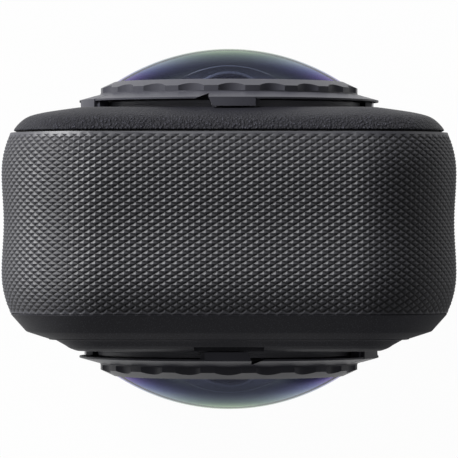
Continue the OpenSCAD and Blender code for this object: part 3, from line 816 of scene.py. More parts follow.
BAND_RUBBER = KnurledRubber("knurled_rubber", "grip_rubber")
DOOR_RUBBER = KnurledRubber("knurled_door_rubber", "door_skin")
REAR_SHELL = SeamGrain("rear_grained_plastic", "shell", (31, 31, 36), roughness=0.48, grain=0.32, relief=0.5,
                       strength=1.0, specular=0.12, stretch=(1.0, 0.45, 1.0), top_highlight_share=0.9)
FRONT_SHELL = GrainedPlastic("front_grained_plastic", "shell", (46, 46, 51), roughness=0.55, grain=0.24,
                             strength=0.5, specular=0.2)
RING_SATIN = SatinPlastic("lens_ring_satin", "lens_ring", (60, 60, 67), roughness=0.42, specular=0.26)
# painted light: the socket is made pale to stand for light that the flange's shade keeps from its wall
SOCKET_PAINTED_FILL = SatinPlastic("lens_socket_satin", "lens_black", (122, 122, 130), roughness=0.42)
# painted light: the stop's cap is near white so that it reads as lit in the shade of the flange
STOP_PAINTED_LIGHT = SatinPlastic("lens_stop_satin", "shell", (214, 214, 218), roughness=0.4)
RETAINER = SatinPlastic("retaining_ring_satin", "lens_black", (40, 40, 46), roughness=0.4)
DOME = CoatedGlass("dome_coated_glass", "dome_glass")
FIRST_ELEMENT = ClearElement("first_element_glass", "lens_glass")
ELEMENT = DeepElement("inner_element_glass", "lens_glass")
BARREL = BarrelBlack("barrel_matt_black", "lens_black")
SEAL = SealRubber("seal_rubber", "seal")
RED_SEAL = SealRubber("lens_seal_rubber", "seal", (92, 38, 28))
SCREEN = ScreenGlass("screen_cover_glass", "screen")
DISPLAY = ScreenGlass("display_dark_panel", "display", (18, 19, 26))
BUTTON = SatinPlastic("button_satin", "button", (56, 56, 60), roughness=0.4)
LATCH = SatinPlastic("latch_satin", "latch", (84, 84, 88))
BASE = GrainedPlastic("base_grained_plastic", "base", (48, 48, 52), roughness=0.52, grain=0.26, relief=0.04,
                      strength=0.5)
FINGER = SatinPlastic("finger_painted_metal", "finger", (74, 74, 79), roughness=0.34)
STEEL = WorkedMetal("plain_steel", "steel")
CAST = WorkedMetal("cast_aluminium_frame", "frame", (104, 104, 108), roughness=0.5, stretch=(4.0, 4.0, 4.0),
                   tarnish=0.3)
TURNED = WorkedMetal("turned_aluminium", "nut", (142, 142, 146), roughness=0.4, stretch=(6.0, 1.0, 6.0))
SINK = WorkedMetal("rolled_aluminium", "nut", (176, 178, 182), roughness=0.42, stretch=(1.0, 8.0, 1.0))
BRASS = WorkedMetal("socket_brass", "brass", (196, 168, 104), roughness=0.3, stretch=(1.0, 1.0, 14.0))
GOLD = WorkedMetal("contact_gold", "brass", (212, 176, 96), roughness=0.25, stretch=(8.0, 1.0, 1.0))
BOARD = BoardMask("circuit_board_mask", "circuit_board")
CHIP = GrainedPlastic("chip_epoxy", "chip", (34, 34, 37), roughness=0.42, grain=0.12, relief=0.01,
                      strength=0.3)
SENSOR = DeepElement("sensor_window", "chip", rim=6.4)
FILM = CopperFilm("flat_cable_film", "flex")
SWITCH = SatinPlastic("switch_shell", "switch", (168, 168, 166), roughness=0.4)
WRAP = SatinPlastic("battery_wrap", "battery", (56, 57, 62), roughness=0.42, grain=0.2)
TRAY = GrainedPlastic("tray_plastic", "tray", (42, 42, 42), roughness=0.55, grain=0.3, relief=0.03,
                      strength=0.4)
CARD = SatinPlastic("card_plastic", "card", (24, 24, 25), roughness=0.45)
GUIDE = LightGuide("status_light_guide", "light")
CLOTH = WovenCloth("speaker_cloth", "chip")
CAPSULE = WorkedMetal("microphone_can", "brass", (188, 178, 140), roughness=0.36, stretch=(1.0, 6.0, 1.0))


# Meshes


def full_turn(steps: int) -> list[float]:
    """Parts a full turn into equal steps, in radians."""
    return [2 * math.pi * i / steps for i in range(steps)]


def circle(centre: Point2, radius: float, turns: Sequence[float]) -> list[Point2]:
    """Gives the points of a circle at some angles, right and up."""
    return [(centre[0] + radius * math.cos(t), centre[1] + radius * math.sin(t)) for t in turns]


class Solid:
    """A closed mesh in front-view millimetres, made from loops of points."""

    def __init__(self) -> None:
        """Starts from an empty mesh."""
        self.bm = bmesh.new()

    def loft(self, loops: Sequence[Sequence[Vector3]], closed: bool = False) -> "Solid":
        """Skins a stack of loops with the same number of points.

        Args:
            loops: the loops, each anticlockwise seen from outside its last loop.
            closed: whether the last loop joins the first; otherwise both ends are capped.

        Returns:
            This solid.
        """
        rows = [[self.bm.verts.new(point) for point in loop] for loop in loops]
        count = len(rows[0])
        pairs = list(zip(rows, rows[1:]))
        if closed:
            pairs.append((rows[-1], rows[0]))
        for low, high in pairs:
            for i in range(count):
                j = (i + 1) % count
                self.bm.faces.new((low[i], low[j], high[j], high[i]))
        if not closed:
            self.bm.faces.new(list(reversed(rows[0])))
            self.bm.faces.new(rows[-1])
        return self

    def prism(self, outline: Sequence[Point2], low: float, high: float) -> "Solid":
        """Raises an outline of right and up from one depth to another."""
        return self.loft([[(x, y, z) for x, y in outline] for z in (low, high)])

    def block(self, low: Vector3, high: Vector3) -> "Solid":
        """Fills the box between two corners."""
        (x0, y0, z0), (x1, y1, z1) = low, high
        return self.prism([(x0, y0), (x1, y0), (x1, y1), (x0, y1)], z0, z1)

    def disc(self, centre: Point2, radius: float, low: float, high: float, steps: int = 96) -> "Solid":
        """Fills a round bar along the depth."""
        return self.prism(circle(centre, radius, full_turn(steps)), low, high)

    def sector(self, centre: Point2, reach: Point2, turn: Point2, low: float, high: float) -> "Solid":
        """Fills part of a ring along the depth.

        Args:
            centre: the ring's axis, right and up.
            reach: inner and outer radius.
            turn: first and last angle in degrees, anticlockwise from the right.
            low: depth where it starts.
            high: depth where it ends.

        Returns:
            This solid.
        """
        turns = [math.radians(turn[0] + (turn[1] - turn[0]) * k / 16) for k in range(17)]
        inner, outer = (circle(centre, radius, turns) for radius in reach)
        return self.prism([*outer, *reversed(inner)], low, high)

    def turned(self, centre: Point2, section: Sequence[Point2], steps: int = 160) -> "Solid":
        """Turns a closed section of radius and depth round an axis along the depth.

        Args:
            centre: the axis, right and up.
            section: points of the section in order.
            steps: how many facets the turn has.

        Returns:
            This solid.
        """
        turns = full_turn(steps)
        loops = [[(x, y, out) for x, y in circle(centre, radius, turns)] for radius, out in section]
        self.loft(loops, closed=True)
        bmesh.ops.remove_doubles(self.bm, verts=self.bm.verts, dist=1e-5)
        return self

    def piece(self, name: str, matrix: Matrix) -> bpy.types.Object:
        """Places the mesh in the frame as an object.

        Args:
            name: the object's name.
            matrix: from front-view millimetres to the frame.

        Returns:
            The object, linked to the scene.
        """
        bmesh.ops.transform(self.bm, matrix=matrix, verts=self.bm.verts)
        bmesh.ops.recalc_face_normals(self.bm, faces=self.bm.faces)
        mesh = bpy.data.meshes.new(name)
        self.bm.to_mesh(mesh)
        self.bm.free()
        return linked(bpy.data.objects.new(name, mesh))


def linked(piece: bpy.types.Object) -> bpy.types.Object:
    """Links an object to the scene and gives it back."""
    bpy.context.scene.collection.objects.link(piece)
    return piece


def cad_copy(frame: dict, node: str, name: str, merge_flats: bool = False) -> bpy.types.Object:
    """Copies a CAD node's mesh into a new object with its split corners joined.

    Args:
        node: the CAD node.
        name: the new object's name.
        merge_flats: whether triangles in one plane become one face.

    Returns:
        The new object.
    """
    bm = bmesh.new()
    bm.from_mesh(frame["nodes"][node].data)
    bmesh.ops.remove_doubles(bm, verts=bm.verts, dist=2e-6)
    if merge_flats:
        bmesh.ops.dissolve_limit(bm, angle_limit=math.radians(0.4), use_dissolve_boundaries=False,
                                 verts=bm.verts, edges=bm.edges)
    mesh = bpy.data.meshes.new(name)
    bm.to_mesh(mesh)
    bm.free()
    if "custom_normal" in mesh.attributes:
        mesh.attributes.remove(mesh.attributes["custom_normal"])
    return linked(bpy.data.objects.new(name, mesh))


def shape_with(piece: bpy.types.Object, tools: Sequence[bpy.types.Object], cut: Cut) -> None:
    """Cuts a piece with tool solids and removes the tools.

    Args:
        piece: the closed mesh that is cut.
        tools: closed meshes, used one after another.
        cut: what each tool does.
    """
    for tool in tools:
        step = piece.modifiers.new("cut", "BOOLEAN")
        step.operation = cut.value
        step.solver = "MANIFOLD"
        step.object = tool
    held = piece.data
    evaluated = piece.evaluated_get(bpy.context.evaluated_depsgraph_get())
    piece.data = bpy.data.meshes.new_from_object(evaluated)
    piece.data.name = held.name
    piece.modifiers.clear()
    bpy.data.meshes.remove(held)
    for tool in tools:
        bpy.data.objects.remove(tool)


def smooth(piece: bpy.types.Object, degrees: float) -> bpy.types.Object:
    """Shades a piece smooth, with edges sharper than an angle left crisp.

    Args:
        piece: the object.
        degrees: the angle between faces above which an edge stays sharp.

    Returns:
        The same object.
    """
    mesh = piece.data
    mesh.polygons.foreach_set("use_smooth", [True] * len(mesh.polygons))
    mesh.set_sharp_from_angle(angle=math.radians(degrees))
    return piece


def eased(piece: bpy.types.Object, width: float, degrees: float = 35.0) -> bpy.types.Object:
    """Rounds a piece's sharp edges.

    Args:
        piece: the object.
        width: the rounding, in millimetres.
        degrees: the angle above which an edge is rounded.

    Returns:
        The same object.
    """
    smooth(piece, degrees)
    ease = piece.modifiers.new("edge_ease", "BEVEL")
    ease.width = width * MM
    ease.segments = 2
    ease.limit_method = "ANGLE"
    ease.angle_limit = math.radians(degrees)
    ease.use_clamp_overlap = True
    level = piece.modifiers.new("face_level", "WEIGHTED_NORMAL")
    level.keep_sharp = True
    return piece


def rounded_rows(rows: Sequence[Row4], ease: float, steps: int) -> list[Row4]:
    """Rounds the corners of a profile.

    Args:
        rows: corners of the profile: depth, then inset at the sides, top and bottom.
        ease: how far each rounding reaches along the profile, in millimetres.
        steps: points in each rounding.

    Returns:
        The rounded profile.
    """
    points = [Vector(row) for row in rows]
    result = [tuple(points[0])]
    for before, here, after in zip(points, points[1:], points[2:]):
        back = (before - here) * min(0.48, ease / (before - here).length)
        ahead = (after - here) * min(0.48, ease / (after - here).length)
        for k in range(steps + 1):
            t = k / steps
            result.append(tuple(here + back * (1 - t) ** 2 + ahead * t * t))
    result.append(tuple(points[-1]))
    return result


def lifted(rows: Sequence[Row4], depth: float) -> list[Row4]:
    """Moves a profile outwards to a depth."""
    return [(depth + out, side, top, bottom) for out, side, top, bottom in rows]


@dataclass(frozen=True)
class BodyForm:
    """Sizes that the band, the covers and the door share, in millimetres."""

    width: float = 62.0
    height: float = 70.0
    corner: float = 14.0
    foot: float = 0.3
    band_front: float = 11.4
    band_rear: float = 13.1
    waist: float = 0.28
    roll: float = 12.5
    crest_drop: float = 5.4
    frame_inset: float = 3.6
    seat: float = 16.5
    stop_root: Point2 = (18.45, 19.15)
    stop_cap: Point2 = (19.15, 20.1)
    stop_turn: Point2 = (170.0, 190.0)
    stop_rise: float = 1.0
    stop_sunk: float = 0.3

    @property
    def half(self) -> float:
        """Half of the body's width."""
        return self.width / 2

    @property
    def middle(self) -> float:
        """Height of the body's centre."""
        return (self.foot + self.height) / 2

    @property
    def runs(self) -> Point2:
        """Straight lengths across the top and up each side."""
        return self.width - 2 * self.corner, self.height - self.foot - 2 * self.corner

    @property
    def girth(self) -> float:
        """Length once round the body."""
        return 2 * sum(self.runs) + 2 * math.pi * self.corner

    def inset(self, out: float) -> float:
        """How far the band's face lies in from the body's widest line.

        Args:
            out: depth towards the front.

        Returns:
            The inset in millimetres.
        """
        front = self.band_front - self.crest_drop
        rear = self.band_rear - self.crest_drop
        past = out - front if out > front else -rear - out
        if past > 0:
            return self.roll - math.sqrt(self.roll ** 2 - past ** 2)
        return self.waist * (1 - math.cos(2 * math.pi * (out + rear) / (front + rear))) / 2

    def walk(self, along: float) -> Row4:
        """Finds a point on the body's widest line.

        Args:
            along: distance from the middle of the top, clockwise seen from the front.

        Returns:
            The point, right and up, and the direction out of the body there.
        """
        across, rise = self.runs
        arc = math.pi * self.corner / 2
        legs = ((across / 2, 90.0), (arc, 0.0), (rise, 0.0), (arc, 0.0), (across, -90.0),
                (arc, 0.0), (rise, 180.0), (arc, 0.0), (across / 2, 90.0))
        left = along % self.girth
        for index, (length, heading) in enumerate(legs):
            if left <= length or index == len(legs) - 1:
                break
            left -= length
        centre_x = across / 2 if index in (1, 2, 3) else -across / 2
        centre_y = self.middle + (rise / 2 if index in (0, 1, 7, 8) else -rise / 2)
        if index in (1, 3, 5, 7):
            turn = math.radians({1: 90, 3: 0, 5: -90, 7: 180}[index]) - left / self.corner
            out_x, out_y = math.cos(turn), math.sin(turn)
            return centre_x + self.corner * out_x, centre_y + self.corner * out_y, out_x, out_y
        return {
            0: (left, self.height, 0.0, 1.0),
            2: (self.half, self.middle + rise / 2 - left, 1.0, 0.0),
            4: (across / 2 - left, self.foot, 0.0, -1.0),
            6: (-self.half, self.middle - rise / 2 + left, -1.0, 0.0),
            8: (left - across / 2, self.height, 0.0, 1.0),
        }[index]

    def inside(self, right: float, up: float) -> float:
        """Gives how far a point lies inside the body's widest line.

        Args:
            right: where the point lies across the body.
            up: its height.

        Returns:
            The distance in millimetres.
        """
        across, rise = self.runs
        over_x = abs(right) - across / 2
        over_y = abs(up - self.middle) - rise / 2
        outside = math.hypot(max(over_x, 0), max(over_y, 0))
        return self.corner - outside - min(max(over_x, over_y), 0)

    def outline(self, side: float, top: float, bottom: float, arc_steps: int = 20,
                straight_steps: int = 6) -> list[Point2]:
        """Draws the body's rounded outline, moved in at the sides, top and bottom.

        Args:
            side: inset at both sides.
            top: inset at the top.
            bottom: inset at the bottom.
            arc_steps: facets in each corner.
            straight_steps: parts of each straight.

        Returns:
            Points right and up, anticlockwise seen from the front.
        """
        radius = max(self.corner - side, 2.5)
        reach = self.half - side - radius
        high = self.height - top - radius
        low = self.foot + bottom + radius
        points: list[Point2] = []
        for index, (cx, cy) in enumerate(((reach, high), (-reach, high), (-reach, low), (reach, low))):
            for k in range(arc_steps + 1):
                turn = math.pi / 2 * (index + k / arc_steps)
                points.append((cx + radius * math.cos(turn), cy + radius * math.sin(turn)))
            (nx, ny) = ((-reach, high), (-reach, low), (reach, low), (reach, high))[index]
            (ux, uy) = ((0, 1), (-1, 0), (0, -1), (1, 0))[index]
            start = points[-1]
            stop = (nx + radius * ux, ny + radius * uy)
            for k in range(1, straight_steps):
                share = k / straight_steps
                points.append((start[0] + (stop[0] - start[0]) * share,
                               start[1] + (stop[1] - start[1]) * share))
        return points

    def lens_stop(self, reach: Point2) -> Solid:
        """Fills part of the post that stands on a lens seat, under the flange of the lens ring.

        Args:
            reach: how far from the lens axis that part starts and ends.

        Returns:
            The solid, in the drawing of a face.
        """
        return Solid().sector(LENS_AXIS, reach, self.stop_turn,
                              self.seat - self.stop_sunk, self.seat + self.stop_rise)

    def cover(self, rows: Sequence[Row4]) -> Solid:
        """Lofts a cover through rows of depth and insets, flat across its last row.

        Args:
            rows: depth, then inset at the sides, top and bottom.

        Returns:
            The solid.
        """
        loops = []
        for out, side, top, bottom in rows:
            loops.append([(x, y, out) for x, y in self.outline(side, top, bottom)])
        return Solid().loft(loops)


FORM = BodyForm()


@dataclass
class Assembly:
    """A sub-assembly: builds its pieces in the frame and dresses them."""

    frame: dict
    pieces: list[bpy.types.Object] = field(default_factory=list)

    def add(self, piece: bpy.types.Object, finish: Finish, body: str, *nodes: str) -> bpy.types.Object:
        """Gives a new piece its finish and its body.

        Args:
            piece: the object.
            finish: its finish.
            body: the CAD body that it rides on.
            nodes: CAD nodes that it stands for.

        Returns:
            The same object.
        """
        piece.data.materials.clear()
        piece.data.materials.append(finish.material())
        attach(piece, body)
        if nodes:
            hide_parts(*nodes)
        self.pieces.append(piece)
        LOG.info("%s rides on %s, %d faces", piece.name, body, len(piece.data.polygons))
        return piece

    def dress(self, finish: Finish, *nodes: str) -> None:
        """Gives CAD nodes that keep their shape a finish.

        Args:
            finish: the finish.
            nodes: the CAD nodes.
        """
        for node in nodes:
            mesh = self.frame["nodes"][node].data
            mesh.materials.clear()
            mesh.materials.append(finish.material())
            LOG.info("%s keeps its CAD shape in %s", node, finish.name)

    def add_stop(self, cover: bpy.types.Object, face: Face) -> None:
        """Joins the root of a lens stop to a cover and adds the stop's cap, painted pale to stand for light
        on it.

        Args:
            cover: the cover that the stop stands on.
            face: the face that the cover lies on.
        """
        label, matrix = face.label(), face.matrix()
        shape_with(cover, [FORM.lens_stop(FORM.stop_root).piece(f"{label}_post", matrix)], Cut.ADD)
        cap = FORM.lens_stop(FORM.stop_cap).piece(f"{label}_lens_stop", matrix)
        self.add(eased(cap, 0.08), STOP_PAINTED_LIGHT, BODY)

    def soften(self, node: str, name: str, finish: Finish, body: str, width: float,
               degrees: float = 35.0) -> bpy.types.Object:
        """Stands a copy with rounded edges in for a CAD node.

        Args:
            node: the CAD node.
            name: the new piece's name.
            finish: its finish.
            body: the CAD body that it rides on.
            width: the rounding, in millimetres.
            degrees: the angle above which an edge is rounded.

        Returns:
            The new piece.
        """
        piece = eased(cad_copy(self.frame, node, name, True), width, degrees)
        return self.add(piece, finish, body, node)


# Grip band and battery door


@dataclass
class Knurl(Assembly):
    """Diamond knurl, cut into copies of the CAD band and door by one ring-shaped tool."""

    columns: int = 154
    row: float = 0.926
    point_row: float = -6.9
    depth: float = 0.19
    land: float = 0.03
    clear: float = 0.12
    border_front: float = 0.05
    border_rear: float = 0.16
    edge: float = 0.35
    fade: float = 0.2
    door_up: Point2 = (15.5, 54.5)
    door_out: Point2 = (-9.5, 8.5)
    latch_up: Point2 = (42.6, 52.2)
    latch_out: Point2 = (-4.5, 3.5)
    shutter: Point2 = (39.99, 5.7)
    mode: Vector3 = (22.01, 5.7, 2.7)
    base: Point2 = (20.6, 9.1)
    skin: float = 0.6
    inner_mark: float = 0.2
    tool_wall: float = 1.6
    tool_past: float = 0.8

    def build(self) -> None:
        """Cuts the band and the door and dresses both."""
        for node, name, finish, body in (
                ("grip_band", "knurled_grip_band", BAND_RUBBER, BODY),
                ("battery_door", "knurled_battery_door", DOOR_RUBBER, "door")):
            piece = cad_copy(self.frame, node, name)
            shape_with(piece, [self.tool()], Cut.REMOVE)
            self.mark_grooves(piece)
            self.add(smooth(piece, 20.0), finish, body, node)

    @staticmethod
    def box_gap(a: float, b: float, span_a: Point2, span_b: Point2) -> float:
        """Gives the distance from a point to a rectangle's border.

        Args:
            a: the point's first part.
            b: its second part.
            span_a: the rectangle's ends along the first.
            span_b: its ends along the second.

        Returns:
            The distance in millimetres.
        """
        over_a = max(span_a[0] - a, a - span_a[1])
        over_b = max(span_b[0] - b, b - span_b[1])
        if over_a <= 0 and over_b <= 0:
            return -max(over_a, over_b)
        return math.hypot(max(over_a, 0), max(over_b, 0))

    def border_gap(self, right: float, up: float, out: float) -> float:
        """Gives the distance from a point on the band to the nearest border.

        Args:
            right: where the point lies across the body.
            up: its height.
            out: its depth towards the front.

        Returns:
            The distance in millimetres.
        """
        gaps = [FORM.band_front + self.edge - self.border_front - out,
                out + FORM.band_rear + self.edge - self.border_rear]
        if right < -FORM.half + self.skin:
            gaps.append(self.box_gap(up, out, self.door_up, self.door_out))
            gaps.append(self.box_gap(up, out, self.latch_up, self.latch_out))
        if right > FORM.half - self.skin:
            gaps.append(abs(math.hypot(up - self.shutter[0], out) - self.shutter[1]))
            middle, half, radius = self.mode
            past = max(abs(up - middle) - (half - radius), 0)
            gaps.append(abs(math.hypot(past, out) - radius))
        if up < FORM.foot + self.skin:
            gaps.append(self.box_gap(right, out, (-self.base[0], self.base[0]),
                                     (-self.base[1], self.base[1])))
        return min(gaps)

    def tool(self) -> bpy.types.Object:
        """Builds the ring whose inner face carries the diamonds.

        Returns:
            The tool, a closed mesh.
        """
        count = 2 * self.columns
        step = FORM.girth / count
        half_row = self.row / 2
        first = math.ceil((-FORM.band_rear - self.point_row) / half_row)
        last = math.floor((FORM.band_front - self.point_row) / half_row)
        stations = [FORM.walk(i * step) for i in range(count)]
        solid = Solid()
        bm = solid.bm

        def ring(out: float, insets: Sequence[float]) -> list[bmesh.types.BMVert]:
            """Adds one loop of the tool at a depth."""
            return [bm.verts.new((x - nx * inset, y - ny * inset, out))
                    for (x, y, nx, ny), inset in zip(stations, insets)]

        rows = []
        outside = [-self.tool_wall] * count
        rear_end = -FORM.band_rear - self.tool_past
        front_end = FORM.band_front + self.tool_past
        rows.append(ring(rear_end, [FORM.inset(-FORM.band_rear) - self.clear] * count))
        for j in range(first, last + 1):
            out = self.point_row + j * half_row
            face = FORM.inset(out)
            insets = []
            for i, (x, y, _, _) in enumerate(stations):
                gap = self.border_gap(x, y, out)
                share = min(max((gap - self.edge) / self.fade, 0.0), 1.0)
                low = -self.clear + (self.clear - self.land) * share
                cut = self.depth if (i + j) % 2 else -self.land
                insets.append(face + (low + (cut - low) * share))
            rows.append(ring(out, insets))
        rows.append(ring(front_end, [FORM.inset(FORM.band_front) - self.clear] * count))
        for k, (near, far) in enumerate(zip(rows, rows[1:])):
            j = first + k - 1
            for i in range(count):
                n = (i + 1) % count
                if (i + j) % 2:
                    bm.faces.new((near[i], near[n], far[n]))
                    bm.faces.new((near[i], far[n], far[i]))
                else:
                    bm.faces.new((near[i], near[n], far[i]))
                    bm.faces.new((near[n], far[n], far[i]))
        rear = ring(rear_end, outside)
        front = ring(front_end, outside)
        for near, far in ((rows[-1], front), (front, rear), (rear, rows[0])):
            for i in range(count):
                n = (i + 1) % count
                bm.faces.new((near[i], near[n], far[n], far[i]))
        return solid.piece("knurl_tool", Face.FRONT.matrix())

    def mark_grooves(self, piece: bpy.types.Object) -> None:
        """Stores on each point how deep in a groove it lies, from 0 to 1, for the rubber's painted groove
        shade.

        Args:
            piece: the cut band or door.
        """
        marks = piece.data.attributes.new("groove", "FLOAT", "POINT")
        values = []
        for vertex in piece.data.vertices:
            right, depth, up = (part / MM for part in vertex.co)
            sunk = FORM.inside(right, up) - FORM.inset(max(min(-depth, FORM.band_front), -FORM.band_rear))
            # faces inside the band get inner_mark, a little of the painted groove shade
            values.append(min(max(sunk / self.depth, 0.0), 1.0) if sunk < self.skin else self.inner_mark)
        marks.data.foreach_set("value", values)


# Covers


@dataclass
class RearShell(Assembly):
    """Rear cover with soft rounded shoulders, a lens opening, a screen recess and small holes."""

    start: float = 13.35
    shell_top: float = 14.9
    lens_hole: float = 16.3
    screen: Vector3 = (37.0, 13.6, 1.0)
    screen_up: float = 13.2
    recess_trim: Point2 = (0.2, 0.2)
    window_trim: Point2 = (-2.4, -1.8)
    side_hole: Point2 = (21.5, 17.2)
    light_hole: float = 0.95
    mic_hole: float = 0.5
    lip: tuple[Row4, ...] = ((0.0, 1.75, 1.75, 1.75), (0.12, 1.65, 1.65, 1.65))
    shoulder: tuple[Row4, ...] = (
        (-2.25, 2.25, 2.25, 2.25), (-1.5, 3.1, 3.1, 3.1), (-1.05, 4.0, 4.0, 3.7), (-0.63, 5.9, 5.2, 4.3),
        (-0.3, 8.4, 6.3, 4.9), (0.0, 10.8, 7.6, 5.5), (0.0, 11.2, 8.0, 5.9))
    flat: Row4 = (0.0, 11.6, 8.4, 6.3)

    def rows(self) -> list[Row4]:
        """Gives the cover's profile from the seam to its flat face."""
        corners = lifted(self.lip, self.start) + lifted(self.shoulder, FORM.seat)
        return rounded_rows(corners, 5.0, 5) + lifted([self.flat], FORM.seat)

    def window(self, trim: Point2, low: float, high: float) -> Solid:
        """Fills a block round the screen's middle.

        Args:
            trim: what is added to the screen's width and height.
            low: depth where it starts.
            high: depth where it ends.

        Returns:
            The solid.
        """
        half_w, half_h = (self.screen[0] + trim[0]) / 2, (self.screen[1] + trim[1]) / 2
        return Solid().block((-half_w, self.screen_up - half_h, low),
                             (half_w, self.screen_up + half_h, high))

    def build(self) -> None:
        """Lofts the cover, cuts its openings and dresses it, the screen and the rear seal."""
        matrix = Face.REAR.matrix()
        z = FORM.seat
        piece = FORM.cover(self.rows()).piece("grained_rear_cover", matrix)
        self.add_stop(piece, Face.REAR)
        inset = FORM.frame_inset
        across, up = self.side_hole
        tools = [
            Solid().prism(FORM.outline(inset, inset, inset), self.start - 1, self.shell_top),
            Solid().disc(LENS_AXIS, self.lens_hole, self.start - 2, z + 2, 160),
            self.window(self.recess_trim, z - self.screen[2], z + 1),
            self.window(self.window_trim, self.start - 1, z),
            Solid().disc((across, up), self.light_hole, self.start - 1, z + 1, 32),
            Solid().disc((-across, up), self.mic_hole, self.start - 1, z + 1, 24),
        ]
        shape_with(piece, [t.piece("rear_tool", matrix) for t in tools], Cut.REMOVE)
        self.add(smooth(piece, 32.0), REAR_SHELL, BODY, "rear_cover")
        self.soften("screen_glass", "screen_cover_glass", SCREEN, BODY, 0.22)
        self.dress(DISPLAY, "display_panel")
        self.dress(SEAL, "rear_gasket")


@dataclass
class FrontShell(Assembly):
    """Front cover with a straight chamfer, and the raised plate that its lens stands on."""

    start: float = 11.45
    floor: float = 13.0
    lens_hole: float = 16.3
    notch: Vector3 = (4.7, 63.0, 0.6)
    slots: Vector3 = (11.5, 13.2, 2.6)
    slot_radius: float = 0.5
    slot_offsets: tuple[float, ...] = (-4.0, -2.0, 0.0, 2.0, 4.0)
    small_up: float = 13.2
    mic: Point2 = (-13.5, 0.5)
    light: Point2 = (-17.0, 0.95)
    lip: tuple[Row4, ...] = ((0.0, 1.35, 1.35, 1.35), (0.1, 1.25, 1.25, 1.25))
    chamfer: tuple[Row4, ...] = ((-2.55, 3.4, 3.3, 3.4), (-1.65, 6.4, 4.4, 6.0))
    pocket: Row4 = (-2.1, 6.4, 4.4, 6.0)
    plate: tuple[Row4, ...] = (
        (-2.1, 6.5, 4.5, 6.1), (-1.6, 6.5, 4.5, 6.1), (-1.5, 6.62, 4.6, 6.22), (-1.5, 7.4, 4.92, 6.84),
        (-0.75, 8.8, 5.6, 8.2), (-0.35, 9.4, 6.1, 8.8), (0.0, 10.4, 6.9, 9.8), (0.0, 10.8, 7.2, 10.2))
    flat: Row4 = (0.0, 11.2, 7.5, 10.6)

    def holes(self, matrix: Matrix) -> list[bpy.types.Object]:
        """Makes the tools for the lens opening, sound slots and small holes.

        Args:
            matrix: from front-view millimetres to the frame.

        Returns:
            The tools, closed meshes.
        """
        low, high = self.start - 2, FORM.seat + 2
        tools = [Solid().disc(LENS_AXIS, self.lens_hole, low, high, 160),
                 Solid().disc((self.mic[0], self.small_up), self.mic[1], low, high, 24),
                 Solid().disc((self.light[0], self.small_up), self.light[1], low, high, 32)]
        tools += [Solid().prism(self.slot(offset), low, high) for offset in self.slot_offsets]
        return [t.piece("front_tool", matrix) for t in tools]

    def slot(self, offset: float) -> list[Point2]:
        """Draws an upright sound slot with round ends.

        Args:
            offset: how far it lies from the middle slot.

        Returns:
            Its outline, right and up.
        """
        across, up, half = self.slots
        radius = self.slot_radius
        turns = [math.pi * k / 24 for k in range(25)]
        upper = circle((across + offset, up + half - radius), radius, turns)
        lower = circle((across + offset, up - half + radius), radius, [math.pi + t for t in turns])
        return [*upper, *lower]

    def build(self) -> None:
        """Lofts cover and plate, cuts their openings and dresses them and the parts behind them."""
        matrix = Face.FRONT.matrix()
        z = FORM.seat
        cover_rows = rounded_rows(lifted(self.lip, self.start) + lifted(self.chamfer, z), 0.35, 4)
        cover = FORM.cover(cover_rows).piece("grained_front_cover", matrix)
        inset = FORM.frame_inset
        sunk, *insets = self.pocket
        pocket = Solid().prism(FORM.outline(*insets), z + sunk, z + 2).piece("front_tool", matrix)
        cavity = Solid().prism(FORM.outline(inset, inset, inset), self.start - 1, self.floor)
        tools = [pocket, cavity.piece("front_tool", matrix), *self.holes(matrix)]
        shape_with(cover, tools, Cut.REMOVE)
        self.add(smooth(cover, 24.0), FRONT_SHELL, BODY, "front_cover")

        plate_rows = rounded_rows(lifted(self.plate, z), 0.3, 4) + lifted([self.flat], z)
        plate = FORM.cover(plate_rows).piece("raised_front_plate", matrix)
        self.add_stop(plate, Face.FRONT)
        half, up, sunk = self.notch
        notch = Solid().block((-half, up, z - sunk), (half, FORM.height, z + 1)).piece("front_tool", matrix)
        shape_with(plate, [notch, *self.holes(matrix)], Cut.REMOVE)
        self.add(smooth(plate, 24.0), FRONT_SHELL, BODY, "front_plate")
        self.dress(SEAL, "front_gasket")
        self.dress(STEEL, "cover_screws")
        self.dress(CLOTH, "speaker")
        self.dress(CAPSULE, "microphones")
        self.dress(GUIDE, "status_lights")


# Lenses


